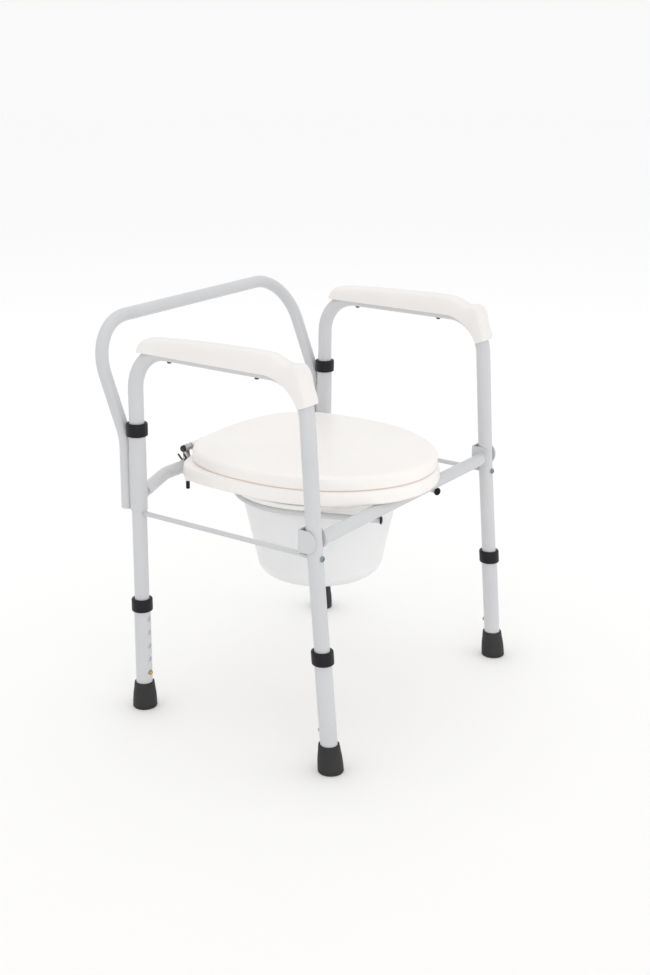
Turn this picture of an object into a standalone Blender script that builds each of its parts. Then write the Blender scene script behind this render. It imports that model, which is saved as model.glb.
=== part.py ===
"""A folding steel commode chair, built in metres with +Z up and the sitter facing -Y.

The origin is at the bottom centre of the chair. Each sub-part is one closed solid in its own
object. The two side frames are inverted U tubes. Their rear legs stand in the sleeves of a rear
frame, and their front legs are straddled by the hooked brackets of a seat frame, which swivels
up round the rear crossbar.
"""

import math

import bmesh
import bpy
from mathutils import Matrix, Vector

# ---------------------------------------------------------------- driving dimensions
GAP = 0.0003  # between pieces that touch
SIDES = 16  # facets round a tube
HALF_WIDTH = 0.2706  # from the middle of the chair to the axis of a leg

FRAME_TUBE = 0.0127  # radius of the 1 inch frame tube
FRAME_WALL = 0.0012
SLEEVE_TUBE = 0.0143  # radius of the 1 1/8 inch sleeves and leg extensions
SLEEVE_BORE = FRAME_TUBE + 0.0004
CROSS_TUBE = 0.0111  # radius of the 7/8 inch crossbars and of the back bar

RAIL_Z = 0.6485  # axis of the arm rails
BEND_RADIUS = 0.070
PAD_CROWN = (  # y along the rail, and the height of the pad's top over the rail's axis
    (0.1340, 0.0186), (0.1290, 0.0208), (0.1150, 0.0222), (0.0800, 0.0254), (0.0400, 0.0278),
    (-0.0100, 0.0298), (-0.0600, 0.0312), (-0.1050, 0.0320),
)
PAD_NOSE = (  # degrees round the front bend, and the same height: a dip, then a blunt nose for the hand
    (0.0, 0.0314), (9.5, 0.0296), (16.0, 0.0276), (21.0, 0.0264), (26.0, 0.0290), (31.5, 0.0362),
    (36.0, 0.0374), (41.0, 0.0348), (46.0, 0.0298), (52.0, 0.0238), (57.0, 0.0216), (63.0, 0.0196),
    (69.5, 0.0172),
)
PAD_HALF_WIDTH = 0.0174
PAD_SKIRT = -0.0020  # how far the sides reach below the rail's axis
PAD_END_SLANT = 0.42  # the rear end leans forward this much for each unit of height
PAD_SCREW_Y = {"rear": 0.0755, "front": -0.1016}
REAR_FOOT_Y, REAR_LEAN = 0.1600, -0.0156  # y of a leg's axis on the floor, and its change per metre up
FRONT_FOOT_Y, FRONT_LEAN, FRONT_LEAN_UPPER = -0.2412, 0.0823, 0.0632
KNEE_Z = 0.373  # where a front leg bends slightly
LEG_END_Z = 0.050  # lower end of the frame tube, inside the extension

HOLE_PITCH = 0.0254
HOLE_COUNT = 5
HOLE_RADIUS = 0.0042
BUTTON_Z = 0.068
BUTTON_RADIUS = 0.0038
BUTTON_PROUD = 0.0048  # how far a button stands out of the extension
EXTENSION_FOOT_Z = 0.0125
REAR_COLLAR_Z, FRONT_COLLAR_Z, COLLAR_HEIGHT = 0.1845, 0.1872, 0.0222
COLLAR_RADIUS = 0.0182
TIP_HEIGHT = 0.048
TIP_FOOT_RADIUS, TIP_TOP_RADIUS = 0.0214, 0.0171

SLEEVE_LOW_Z, SLEEVE_TOP_Z = 0.3690, 0.5100
SLEEVE_COLLAR_Z = 0.4998
STOP_RIVET_Z = 0.5275
REAR_RIVET_Z = 0.3600

BACK_LOW_Z, BACK_KNEE_Z, BACK_TOP_Z = 0.3685, 0.4914, 0.6770
BACK_TOP_Y = 0.2504
BACK_CORNER = 0.090

ROD_Z, ROD_RADIUS = 0.3640, 0.0042
FRONT_BAR_Z = 0.3890
REAR_BAR_Z, REAR_BAR_Y = 0.4000, 0.1850
BAR_BOW_X, BAR_BOW_END_X = 0.168, 0.250  # the rear crossbar bows back between these

SHEET = 0.0026  # sheet metal of the hooked brackets
CHEEK_LOW_Z, CHEEK_TOP_Z = 0.3735, 0.4105
WEB_Y = -0.1910  # front face of a bracket's web
CHEEK_TIP_Y = -0.2218
CHEEK_CLEARANCE = 0.0010

RING_ROD = 0.0050
RING_RADIUS = 0.1500
PAIL_Y = -0.0285
PAIL_TOP_Z = 0.3868
PAIL_FOOT_Z = 0.2165
PAIL_WALL = 0.0022
RING_END_X, RING_END_Y = 0.0905, -0.2140

HINGE_Y, HINGE_Z, HINGE_ROD = 0.1865, 0.4315, 0.0040
POST_X = 0.1080
STRAP_X = 0.0300

SEAT_LOW_Z, SEAT_TOP_Z = 0.4005, 0.4265
LID_TOP_Z = 0.4505
OUTLINE_Y = -0.0145  # where the seat and the lid are widest
SEAT_HALF, SEAT_FRONT, SEAT_REAR = 0.190, 0.2330, 0.1862
LID_HALF, LID_FRONT, LID_REAR = 0.186, 0.2285, 0.1945
HOLE_HALF, HOLE_FRONT, HOLE_REAR = 0.112, 0.1400, 0.1080
SEAT_REAR_POWER, LID_REAR_POWER, HOLE_REAR_POWER = 4.8, 2.9, 2.3  # how square each is behind

SIDE_NAMES = {-1: "right", 1: "left"}  # the sitter's right is at -X


# ---------------------------------------------------------------- materials
def material(name, colour, roughness, metallic=0.0):
    made = bpy.data.materials.new(name)
    made.use_nodes = True
    shader = made.node_tree.nodes["Principled BSDF"]
    shader.inputs["Base Color"].default_value = (*colour, 1.0)
    shader.inputs["Roughness"].default_value = roughness
    shader.inputs["Metallic"].default_value = metallic
    made.diffuse_color = (*colour, 1.0)
    return made


def make_materials():
    return {
        "coat": material("powder_coat", (0.70, 0.72, 0.71), 0.38),
        "white": material("white_plastic", (0.86, 0.84, 0.81), 0.30),
        "pail": material("pail_plastic", (0.88, 0.87, 0.84), 0.45),
        "black": material("black_plastic", (0.016, 0.016, 0.022), 0.50),
        "rubber": material("black_rubber", (0.020, 0.020, 0.021), 0.75),
        "chrome": material("chrome", (0.62, 0.62, 0.64), 0.12, 1.0),
        "zinc": material("zinc_plate", (0.50, 0.53, 0.58), 0.35, 1.0),
        "brass": material("brass", (0.62, 0.44, 0.18), 0.32, 1.0),
    }


# ---------------------------------------------------------------- building blocks
def new_object(name, mesh_data, slot, origin=None, hidden=False):
    """An object from a bmesh whose points are in world space, with its origin moved to a point."""
    if origin:
        bmesh.ops.translate(mesh_data, verts=mesh_data.verts, vec=-Vector(origin))
    bmesh.ops.recalc_face_normals(mesh_data, faces=mesh_data.faces)
    mesh = bpy.data.meshes.new(name)
    mesh_data.to_mesh(mesh)
    mesh_data.free()
    mesh.shade_smooth()
    mesh.set_sharp_from_angle(angle=math.radians(35))
    made = bpy.data.objects.new(name, mesh)
    bpy.context.scene.collection.objects.link(made)
    if slot:
        mesh.materials.append(slot)
    if origin:
        made.location = origin
    if hidden:
        made.hide_render = True
        made.display_type = "WIRE"
    return made


def boolean(target, cutter, operation="DIFFERENCE"):
    step = target.modifiers.new(cutter.name, "BOOLEAN")
    step.object = cutter
    step.operation = operation
    step.solver = "EXACT"


def circle(radius, sides=SIDES):
    turns = [2 * math.pi * (i + 0.5) / sides for i in range(sides)]
    return [(radius * math.cos(a), radius * math.sin(a)) for a in turns]


def rounded_path(corners, radii):
    """A path through corners, each inner one rounded to its radius."""
    corners = [Vector(c) for c in corners]
    path = [corners[0]]
    for before, corner, after, radius in zip(corners, corners[1:], corners[2:], radii):
        back, ahead = (before - corner).normalized(), (after - corner).normalized()
        half = back.angle(ahead) / 2
        run = radius / math.tan(half)
        centre = corner + (back + ahead).normalized() * radius / math.sin(half)
        start, end = corner + back * run - centre, corner + ahead * run - centre
        steps = max(1, round(math.degrees(start.angle(end)) / 16))
        for i in range(steps + 1):
            turn = Matrix.Rotation(start.angle(end) * i / steps, 3, start.cross(end))
            path.append(centre + turn @ start)
    path.append(corners[-1])
    return path


def directions(path, closed=False):
    """The direction of the path at each point, halfway between its two runs."""
    found = []
    last = len(path) - 1
    for i, point in enumerate(path):
        before = path[i - 1] if i > 0 or closed else point
        after = path[(i + 1) % len(path)] if i < last or closed else point
        ahead = (after - point).normalized() if after != point else Vector()
        back = (point - before).normalized() if before != point else Vector()
        found.append((ahead + back).normalized())
    return found


def ring_loop(mesh_data, centre, direction, plane_normal, outline):
    """One outline of points square to the direction: u is along the plane's normal, v across it."""
    across = direction.cross(plane_normal).normalized()
    return [mesh_data.verts.new(centre + plane_normal * u + across * v) for u, v in outline]


def bridge(mesh_data, first, second):
    count = len(first)
    for i in range(count):
        j = (i + 1) % count
        mesh_data.faces.new((first[i], first[j], second[j], second[i]))


def swept(path, plane_normal, outline, bore=None):
    """A solid swept along a flat path, or a tube where bore is a second outline of as many points."""
    mesh_data = bmesh.new()
    plane_normal = Vector(plane_normal)
    heads = directions(path)
    outer = [ring_loop(mesh_data, p, d, plane_normal, outline) for p, d in zip(path, heads)]
    for first, second in zip(outer, outer[1:]):
        bridge(mesh_data, first, second)
    if bore:
        inner = [ring_loop(mesh_data, p, d, plane_normal, bore) for p, d in zip(path, heads)]
        for first, second in zip(inner, inner[1:]):
            bridge(mesh_data, second, first)
        bridge(mesh_data, inner[0], outer[0])
        bridge(mesh_data, outer[-1], inner[-1])
    else:
        mesh_data.faces.new(outer[0])
        mesh_data.faces.new(outer[-1])
    return mesh_data


def turned(profile, centre=(0, 0, 0), axis="Z", sides=SIDES, mesh_data=None):
    """A closed profile of (radius, height) pairs turned round an axis through the centre."""
    mesh_data = mesh_data or bmesh.new()
    place = {
        "X": Matrix.Rotation(math.pi / 2, 4, "Y"),
        "-X": Matrix.Rotation(-math.pi / 2, 4, "Y"),
        "Y": Matrix.Rotation(-math.pi / 2, 4, "X"),
        "-Y": Matrix.Rotation(math.pi / 2, 4, "X"),
        "Z": Matrix.Identity(4),
    }[axis]
    place = Matrix.Translation(Vector(centre)) @ place
    loops = []
    for radius, height in profile:
        if radius < 1e-9:
            loops.append([mesh_data.verts.new(place @ Vector((0, 0, height)))])
        else:
            loops.append(
                [mesh_data.verts.new(place @ Vector((x, y, height))) for x, y in circle(radius, sides)]
            )
    closed = profile[0][0] > 1e-9 and profile[-1][0] > 1e-9
    pairs = list(zip(loops, loops[1:]))
    if closed:
        pairs.append((loops[-1], loops[0]))
    for first, second in pairs:
        if len(first) == 1 and len(second) == 1:
            continue
        if len(first) == 1 or len(second) == 1:
            tip, loop = (first[0], second) if len(first) == 1 else (second[0], first)
            for i in range(sides):
                mesh_data.faces.new((tip, loop[i], loop[(i + 1) % sides]))
        else:
            bridge(mesh_data, first, second)
    return mesh_data


def block(low, high):
    mesh_data = bmesh.new()
    middle = (Vector(low) + Vector(high)) / 2
    size = Vector(high) - Vector(low)
    bmesh.ops.create_cube(mesh_data, size=1, matrix=Matrix.Translation(middle) @ Matrix.Diagonal((*size, 1)))
    return mesh_data


def plate(outline, x_low, x_high):
    """A sheet between two X planes, from an outline of (y, z) points."""
    mesh_data = bmesh.new()
    low = [mesh_data.verts.new((x_low, y, z)) for y, z in outline]
    high = [mesh_data.verts.new((x_high, y, z)) for y, z in outline]
    mesh_data.faces.new(low)
    mesh_data.faces.new(high)
    bridge(mesh_data, low, high)
    return mesh_data


def leant(mesh_data, lean):
    """Leans a piece that was built upright: each level moves in Y by lean times its height."""
    for vert in mesh_data.verts:
        vert.co.y += lean * vert.co.z
    return mesh_data


# ---------------------------------------------------------------- leg axes
def rear_y(z):
    return REAR_FOOT_Y + REAR_LEAN * z


def front_y(z):
    if z <= KNEE_Z:
        return FRONT_FOOT_Y + FRONT_LEAN * z
    return FRONT_FOOT_Y + FRONT_LEAN * KNEE_Z + FRONT_LEAN_UPPER * (z - KNEE_Z)


LEGS = [
    (side, end, foot_y, lean, collar_z, facing)
    for side in (-1, 1)
    for end, foot_y, lean, collar_z, facing in (
        ("front", FRONT_FOOT_Y, FRONT_LEAN, FRONT_COLLAR_Z, 1),
        ("rear", REAR_FOOT_Y, REAR_LEAN, REAR_COLLAR_Z, -1),
    )
]


def along_leg(side, foot_y, lean, z):
    return Vector((side * HALF_WIDTH, foot_y + lean * z, z))


# ---------------------------------------------------------------- side frames
def side_path(side):
    x = side * HALF_WIDTH
    corners = [
        (x, rear_y(LEG_END_Z), LEG_END_Z),
        (x, rear_y(RAIL_Z), RAIL_Z),
        (x, front_y(RAIL_Z), RAIL_Z),
        (x, front_y(KNEE_Z), KNEE_Z),
        (x, front_y(LEG_END_Z), LEG_END_Z),
    ]
    return rounded_path(corners, (BEND_RADIUS, BEND_RADIUS, 0.3))


def button_slot(side, foot_y, lean, facing, name):
    """The slot at the foot of a frame leg that the snap button stands in."""
    top = along_leg(side, foot_y, lean, BUTTON_Z + 0.0052)
    low = along_leg(side, foot_y, lean, LEG_END_Z - 0.006)
    near, far = sorted((top.y + facing * 0.003, top.y + facing * 0.022))
    return new_object(
        name, block((top.x - 0.0052, near, low.z), (top.x + 0.0052, far, top.z)), None, hidden=True
    )


def make_side_frame(side, mats):
    tube = swept(side_path(side), (1, 0, 0), circle(FRAME_TUBE), circle(FRAME_TUBE - FRAME_WALL))
    frame = new_object("side_frame_" + SIDE_NAMES[side], tube, mats["coat"])
    for leg_side, end, foot_y, lean, _, facing in LEGS:
        if leg_side == side:
            boolean(frame, button_slot(side, foot_y, lean, facing, f"slot_{SIDE_NAMES[side]}_{end}"))


def pad_section(height):
    """Section of an arm pad: a crowned cover, open underneath, with a channel for the rail."""
    bore, half = FRAME_TUBE + 2 * GAP, PAD_HALF_WIDTH
    side = [(-half, PAD_SKIRT), (-half - 0.0006, height * 0.50), (-half + 0.0020, height * 0.80)]
    side += [(-half + 0.0070, height * 0.96), (-half * 0.25, height)]
    turns = [math.pi * i / 6 for i in range(7)]
    channel = [(bore * math.cos(a), bore * math.sin(a)) for a in turns]
    return side + [(-u, v) for u, v in reversed(side)] + [(bore, PAD_SKIRT)] + channel + [(-bore, PAD_SKIRT)]


def pad_stations():
    """Places along an arm pad: y, z, the way the rail heads there, and the height of the pad."""
    half_turn = (math.pi / 2 + math.atan(FRONT_LEAN_UPPER)) / 2
    bend_y = front_y(RAIL_Z) + BEND_RADIUS / math.tan(half_turn)
    stations = [(y, RAIL_Z, Vector((0, -1, 0)), height) for y, height in PAD_CROWN]
    for degrees, height in PAD_NOSE:
        a = math.radians(degrees)
        y, z = bend_y - BEND_RADIUS * math.sin(a), RAIL_Z - BEND_RADIUS * (1 - math.cos(a))
        stations.append((y, z, Vector((0, -math.cos(a), -math.sin(a))), height))
    return stations


def make_arm_pad(side, mats):
    """The pad runs straight on behind the rail's rear bend, and ends part way round the front bend."""
    mesh_data = bmesh.new()
    loops = []
    for y, z, head, height in pad_stations():
        spot, section = Vector((side * HALF_WIDTH, y, z)), pad_section(height)
        loops.append(ring_loop(mesh_data, spot, head, Vector((1, 0, 0)), section))
        if len(loops) <= 2:
            for vert, (_, v) in zip(loops[-1], section):
                vert.co.y -= PAD_END_SLANT * (v - PAD_SKIRT)
    for first, second in zip(loops, loops[1:]):
        bridge(mesh_data, first, second)
    mesh_data.faces.new(loops[0])
    mesh_data.faces.new(loops[-1])
    new_object("arm_pad_" + SIDE_NAMES[side], mesh_data, mats["white"])


def make_pad_screws(side, mats):
    for place, y in PAD_SCREW_Y.items():
        z = RAIL_Z - FRAME_TUBE - GAP
        profile = [(0, -0.0026), (0.0022, -0.0024), (0.0038, -0.0012), (0.0040, 0), (0, 0)]
        head = turned(profile, (side * HALF_WIDTH, y, z), sides=12)
        new_object(f"pad_screw_{place}_{SIDE_NAMES[side]}", head, mats["zinc"])


# ---------------------------------------------------------------- legs
def make_extension(side, end, foot_y, lean, collar_z, facing, mats):
    name = f"leg_extension_{end}_{SIDE_NAMES[side]}"
    top = collar_z + COLLAR_HEIGHT * 0.62
    low = EXTENSION_FOOT_Z
    profile = [(SLEEVE_BORE, low), (SLEEVE_TUBE, low), (SLEEVE_TUBE, top), (SLEEVE_BORE, top)]
    tube = leant(turned(profile, (side * HALF_WIDTH, foot_y, 0)), lean)
    tube = new_object(name, tube, mats["coat"])
    cutter = bmesh.new()
    for i in range(HOLE_COUNT):
        spot = along_leg(side, foot_y, lean, BUTTON_Z + HOLE_PITCH * i)
        profile = [(0, 0), (HOLE_RADIUS, 0), (HOLE_RADIUS, 0.030), (0, 0.030)]
        turned(profile, spot, "Y" if facing > 0 else "-Y", 12, cutter)
    boolean(tube, new_object(name + "_holes", cutter, None, hidden=True))


def make_leg_collar(side, end, foot_y, lean, collar_z, mats):
    seat = collar_z + COLLAR_HEIGHT * 0.62 + GAP
    upper, lower = SLEEVE_BORE - 0.0001, SLEEVE_TUBE + GAP
    r, top = COLLAR_RADIUS, collar_z + COLLAR_HEIGHT
    profile = [
        (lower, collar_z), (r - 0.0012, collar_z), (r, collar_z + 0.0012), (r, top - 0.002),
        (r - 0.002, top), (upper, top), (upper, seat), (lower, seat),
    ]
    collar = leant(turned(profile, (side * HALF_WIDTH, foot_y, 0)), lean)
    new_object(f"leg_collar_{end}_{SIDE_NAMES[side]}", collar, mats["black"])


def make_rubber_tip(side, end, foot_y, lean, mats):
    bore = SLEEVE_TUBE + GAP
    foot, top = TIP_FOOT_RADIUS, TIP_TOP_RADIUS
    profile = [
        (0, 0), (foot - 0.0018, 0), (foot, 0.0018), (foot - 0.0004, 0.0140), (foot - 0.0012, 0.0260),
        (top + 0.0018, 0.0360), (top + 0.0008, TIP_HEIGHT - 0.0040), (top - 0.0010, TIP_HEIGHT),
        (bore, TIP_HEIGHT), (bore, EXTENSION_FOOT_Z - GAP), (0, EXTENSION_FOOT_Z - GAP),
    ]
    tip = leant(turned(profile, (side * HALF_WIDTH, foot_y, 0)), lean)
    new_object(f"rubber_tip_{end}_{SIDE_NAMES[side]}", tip, mats["rubber"])


def make_snap_button(side, end, foot_y, lean, facing, mats):
    """A brass button on the arm of a folded leaf spring, inside the frame leg."""
    spot = along_leg(side, foot_y, lean, BUTTON_Z)
    axis = "Y" if facing > 0 else "-Y"
    reach = SLEEVE_TUBE + BUTTON_PROUD
    inner = FRAME_TUBE - FRAME_WALL - 0.0022
    profile = [
        (0, inner - 0.0006), (BUTTON_RADIUS, inner - 0.0006), (BUTTON_RADIUS, reach - 0.0030),
        (BUTTON_RADIUS * 0.88, reach - 0.0015), (BUTTON_RADIUS * 0.5, reach - 0.0004), (0, reach),
    ]
    name = f"snap_button_{end}_{SIDE_NAMES[side]}"
    button = new_object(name, turned(profile, spot, axis, 12), mats["brass"], origin=spot)
    leaf, arm_top, arm_low = 0.0009, 0.010, -0.012
    outline = [
        (inner, arm_top), (inner, arm_low), (inner - 0.002, arm_low - 0.004),
        (inner - 0.006, arm_low - 0.004),
        (inner - 0.012, arm_top), (inner - 0.012 + leaf, arm_top), (inner - 0.006 + leaf, arm_low - 0.003),
        (inner - 0.0025, arm_low - 0.003), (inner - leaf, arm_low), (inner - leaf, arm_top),
    ]
    places = [(spot.y + facing * v, spot.z + w) for v, w in outline]
    spring = new_object(
        name + "_leaf", plate(places, spot.x - 0.0034, spot.x + 0.0034), None, hidden=True
    )
    boolean(button, spring, "UNION")


# ---------------------------------------------------------------- rear frame
def make_rear_sleeve(side, mats):
    x = side * HALF_WIDTH
    low, top = SLEEVE_LOW_Z, SLEEVE_TOP_Z
    profile = [(SLEEVE_BORE, low), (SLEEVE_TUBE, low), (SLEEVE_TUBE, top), (SLEEVE_BORE, top)]
    sleeve = leant(turned(profile, (x, REAR_FOOT_Y, 0)), REAR_LEAN)
    new_object("rear_sleeve_" + SIDE_NAMES[side], sleeve, mats["coat"])
    seat = SLEEVE_TOP_Z + GAP
    upper, lower, r = SLEEVE_BORE - 0.0001, SLEEVE_TUBE + GAP, COLLAR_RADIUS
    low, top = SLEEVE_COLLAR_Z, SLEEVE_COLLAR_Z + COLLAR_HEIGHT
    profile = [
        (lower, low), (r - 0.0012, low), (r, low + 0.0012), (r, top - 0.002), (r - 0.002, top),
        (upper, top), (upper, seat), (lower, seat),
    ]
    collar = leant(turned(profile, (x, REAR_FOOT_Y, 0)), REAR_LEAN)
    new_object("sleeve_collar_" + SIDE_NAMES[side], collar, mats["black"])


def make_rear_rivets(side, mats):
    """Rivet heads on the rear face of a rear leg: one under the sleeve, one over its collar."""
    for name, z, radius in (("leg_rivet", REAR_RIVET_Z, 0.0042), ("stop_rivet", STOP_RIVET_Z, 0.0034)):
        profile = [(0, 0), (radius, 0), (radius * 0.8, 0.0013), (radius * 0.4, 0.0021), (0, 0.0023)]
        spot = (side * HALF_WIDTH, rear_y(z) + FRAME_TUBE + GAP, z)
        new_object(f"{name}_{SIDE_NAMES[side]}", turned(profile, spot, "Y", 12), mats["zinc"])


def make_rear_crossbar(mats):
    """Bows back from sleeve to sleeve, with a straight middle for the hinges."""
    y_end = rear_y(REAR_BAR_Z)
    x_end = HALF_WIDTH - SLEEVE_TUBE - GAP
    corners = [(-x_end, y_end, 0), (-BAR_BOW_END_X, y_end, 0), (-BAR_BOW_X, REAR_BAR_Y, 0)]
    corners += [(-x, y, z) for x, y, z in reversed(corners)]
    path = [p + Vector((0, 0, REAR_BAR_Z)) for p in rounded_path(corners, (0.015, 0.06, 0.06, 0.015))]
    bar = swept(path, (0, 0, 1), circle(CROSS_TUBE), circle(CROSS_TUBE - FRAME_WALL))
    new_object("rear_crossbar", bar, mats["coat"])


def back_path():
    y_low = rear_y(BACK_LOW_Z) + SLEEVE_TUBE + CROSS_TUBE + GAP
    y_knee = rear_y(BACK_KNEE_Z) + SLEEVE_TUBE + CROSS_TUBE + GAP
    half = [(y_low, BACK_LOW_Z), (y_knee, BACK_KNEE_Z)]
    corners = [(-HALF_WIDTH, y, z) for y, z in half]
    corners.append((-HALF_WIDTH, BACK_TOP_Y, BACK_TOP_Z))
    corners += [(-x, y, z) for x, y, z in reversed(corners)]
    return rounded_path(corners, (0.09, BACK_CORNER, BACK_CORNER, 0.09))


def spatial_tube(path, first_normal, outline, bore):
    """A tube along a path that bends in more than one plane, with its section carried round each bend."""
    mesh_data = bmesh.new()
    heads = directions(path)
    normal = Vector(first_normal)
    outer, inner = [], []
    for point, head in zip(path, heads):
        normal = (normal - head * normal.dot(head)).normalized()
        outer.append(ring_loop(mesh_data, point, head, normal, outline))
        inner.append(ring_loop(mesh_data, point, head, normal, bore))
    for first, second in zip(outer, outer[1:]):
        bridge(mesh_data, first, second)
    for first, second in zip(inner, inner[1:]):
        bridge(mesh_data, second, first)
    bridge(mesh_data, inner[0], outer[0])
    bridge(mesh_data, outer[-1], inner[-1])
    return mesh_data


def make_back_bar(mats):
    bar = spatial_tube(back_path(), (0, 1, 0), circle(CROSS_TUBE), circle(CROSS_TUBE - FRAME_WALL))
    new_object("back_bar", bar, mats["coat"])


# ---------------------------------------------------------------- side rods
def make_side_rod(side, mats):
    x = side * HALF_WIDTH
    rear = rear_y(ROD_Z) - FRAME_TUBE - GAP
    front = front_y(ROD_Z) + FRAME_TUBE + GAP
    rod = swept([Vector((x, y, ROD_Z)) for y in (rear, front)], (1, 0, 0), circle(ROD_RADIUS, 10))
    new_object("side_rod_" + SIDE_NAMES[side], rod, mats["coat"])
    profile = [(0, 0), (0.0048, 0), (0.0046, 0.0014), (0.0034, 0.0026), (0.0016, 0.0026)]
    profile += [(0.0013, 0.0012), (0, 0.0012)]
    spot = (x, front_y(ROD_Z) - FRAME_TUBE - GAP, ROD_Z)
    new_object("rod_bolt_" + SIDE_NAMES[side], turned(profile, spot, "-Y", 12), mats["zinc"])


# ---------------------------------------------------------------- seat frame
def make_front_crossbar(mats):
    x_end = HALF_WIDTH - FRAME_TUBE - CHEEK_CLEARANCE - SHEET - GAP
    path = [Vector((x, front_y(FRONT_BAR_Z), FRONT_BAR_Z)) for x in (-x_end, x_end)]
    bar = swept(path, (0, 0, 1), circle(CROSS_TUBE), circle(CROSS_TUBE - FRAME_WALL))
    new_object("front_crossbar", bar, mats["coat"])


def cheek_outline():
    """A D: straight up the web, and round in front. The web's foot stands on the side rod."""
    low, top = CHEEK_LOW_Z, CHEEK_TOP_Z
    middle, radius = (low + top) / 2, (top - low) / 2
    rear, foot = WEB_Y + SHEET, ROD_Z + ROD_RADIUS + GAP
    turns = [math.pi / 2 + math.pi * i / 10 for i in range(11)]
    reach = CHEEK_TIP_Y + radius * 0.80
    front = [(reach + radius * 0.80 * math.cos(a), middle + radius * math.sin(a)) for a in turns]
    return [(rear + 0.01, foot), (rear + 0.01, top)] + front + [(WEB_Y - 0.002, low), (WEB_Y, foot)]


def make_u_bracket(side, mats):
    """Two D-shaped cheeks either side of the front leg, joined by a web behind it."""
    inside, outside = FRAME_TUBE + CHEEK_CLEARANCE, FRAME_TUBE + CHEEK_CLEARANCE + SHEET
    x = side * HALF_WIDTH
    plan = [
        (x - outside, -0.26), (x - outside, WEB_Y + SHEET),
        (x + outside, WEB_Y + SHEET), (x + outside, -0.26),
        (x + inside, -0.26), (x + inside, WEB_Y), (x - inside, WEB_Y), (x - inside, -0.26),
    ]
    mesh_data = bmesh.new()
    low = [mesh_data.verts.new((*spot, 0.33)) for spot in plan]
    high = [mesh_data.verts.new((*spot, 0.45)) for spot in plan]
    mesh_data.faces.new(low)
    mesh_data.faces.new(high)
    bridge(mesh_data, low, high)
    bracket = new_object("hook_bracket_" + SIDE_NAMES[side], mesh_data, mats["coat"])
    shape = plate(cheek_outline(), x - 0.03, x + 0.03)
    boolean(bracket, new_object("cheek_shape_" + SIDE_NAMES[side], shape, None, hidden=True), "INTERSECT")


def ring_path():
    """Round the pail from one front end to the other."""
    z = FRONT_BAR_Z - CROSS_TUBE - RING_ROD - GAP
    centre = Vector((0, PAIL_Y, z))
    end = Vector((RING_END_X, RING_END_Y, z))
    away = centre - end
    lean = math.atan2(away.y, away.x) - math.asin(RING_RADIUS / away.length)
    reach = math.sqrt(away.length_squared - RING_RADIUS**2)
    touch = end + Vector((math.cos(lean), math.sin(lean), 0)) * reach
    start = math.atan2(touch.y - PAIL_Y, touch.x)
    steps = 22
    arc = []
    for i in range(steps + 1):
        angle = start + (math.pi - 2 * start) * i / steps
        arc.append(centre + RING_RADIUS * Vector((math.cos(angle), math.sin(angle), 0)))
    return [end, *arc, Vector((-end.x, end.y, z))]


def make_pail_ring(mats):
    path = ring_path()
    new_object("pail_ring", swept(path, (0, 0, 1), circle(RING_ROD, 10)), mats["coat"])
    for side, end, before in ((1, path[0], path[1]), (-1, path[-1], path[-2])):
        out = (end - before).normalized()
        r = RING_ROD + 0.0017
        cap = swept([end + out * GAP, end + out * 0.003], (0, 0, 1), circle(r, 12))
        new_object("ring_cap_" + SIDE_NAMES[side], cap, mats["black"])


def make_pivot_strap(side, mats):
    """A loop round the rear crossbar with an arm down to the pail ring."""
    x, half = side * STRAP_X, 0.009
    bore, outer = CROSS_TUBE + GAP + 0.0002, CROSS_TUBE + 0.0018
    loop = [(outer, -half), (outer, half), (bore, half), (bore, -half)]
    strap = new_object(
        "pivot_strap_" + SIDE_NAMES[side],
        turned(loop, (x, REAR_BAR_Y, REAR_BAR_Z), "X", 20),
        mats["coat"],
    )
    ring_z = FRONT_BAR_Z - CROSS_TUBE - RING_ROD - GAP
    ring_y = PAIL_Y + math.sqrt((RING_RADIUS + RING_ROD) ** 2 - (STRAP_X - half + 0.001) ** 2) + GAP
    arm = [
        (REAR_BAR_Y - 0.0118, REAR_BAR_Z - 0.0020), (ring_y, ring_z + 0.0110), (ring_y, ring_z - 0.0040),
        (ring_y + 0.0030, ring_z - 0.0040), (ring_y + 0.0035, ring_z + 0.0095),
        (REAR_BAR_Y - 0.0098, REAR_BAR_Z - 0.0072),
    ]
    arm = plate(arm, x - half + 0.001, x + half - 0.001)
    arm = new_object(f"strap_arm_{SIDE_NAMES[side]}", arm, None, hidden=True)
    boolean(strap, arm, "UNION")


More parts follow.
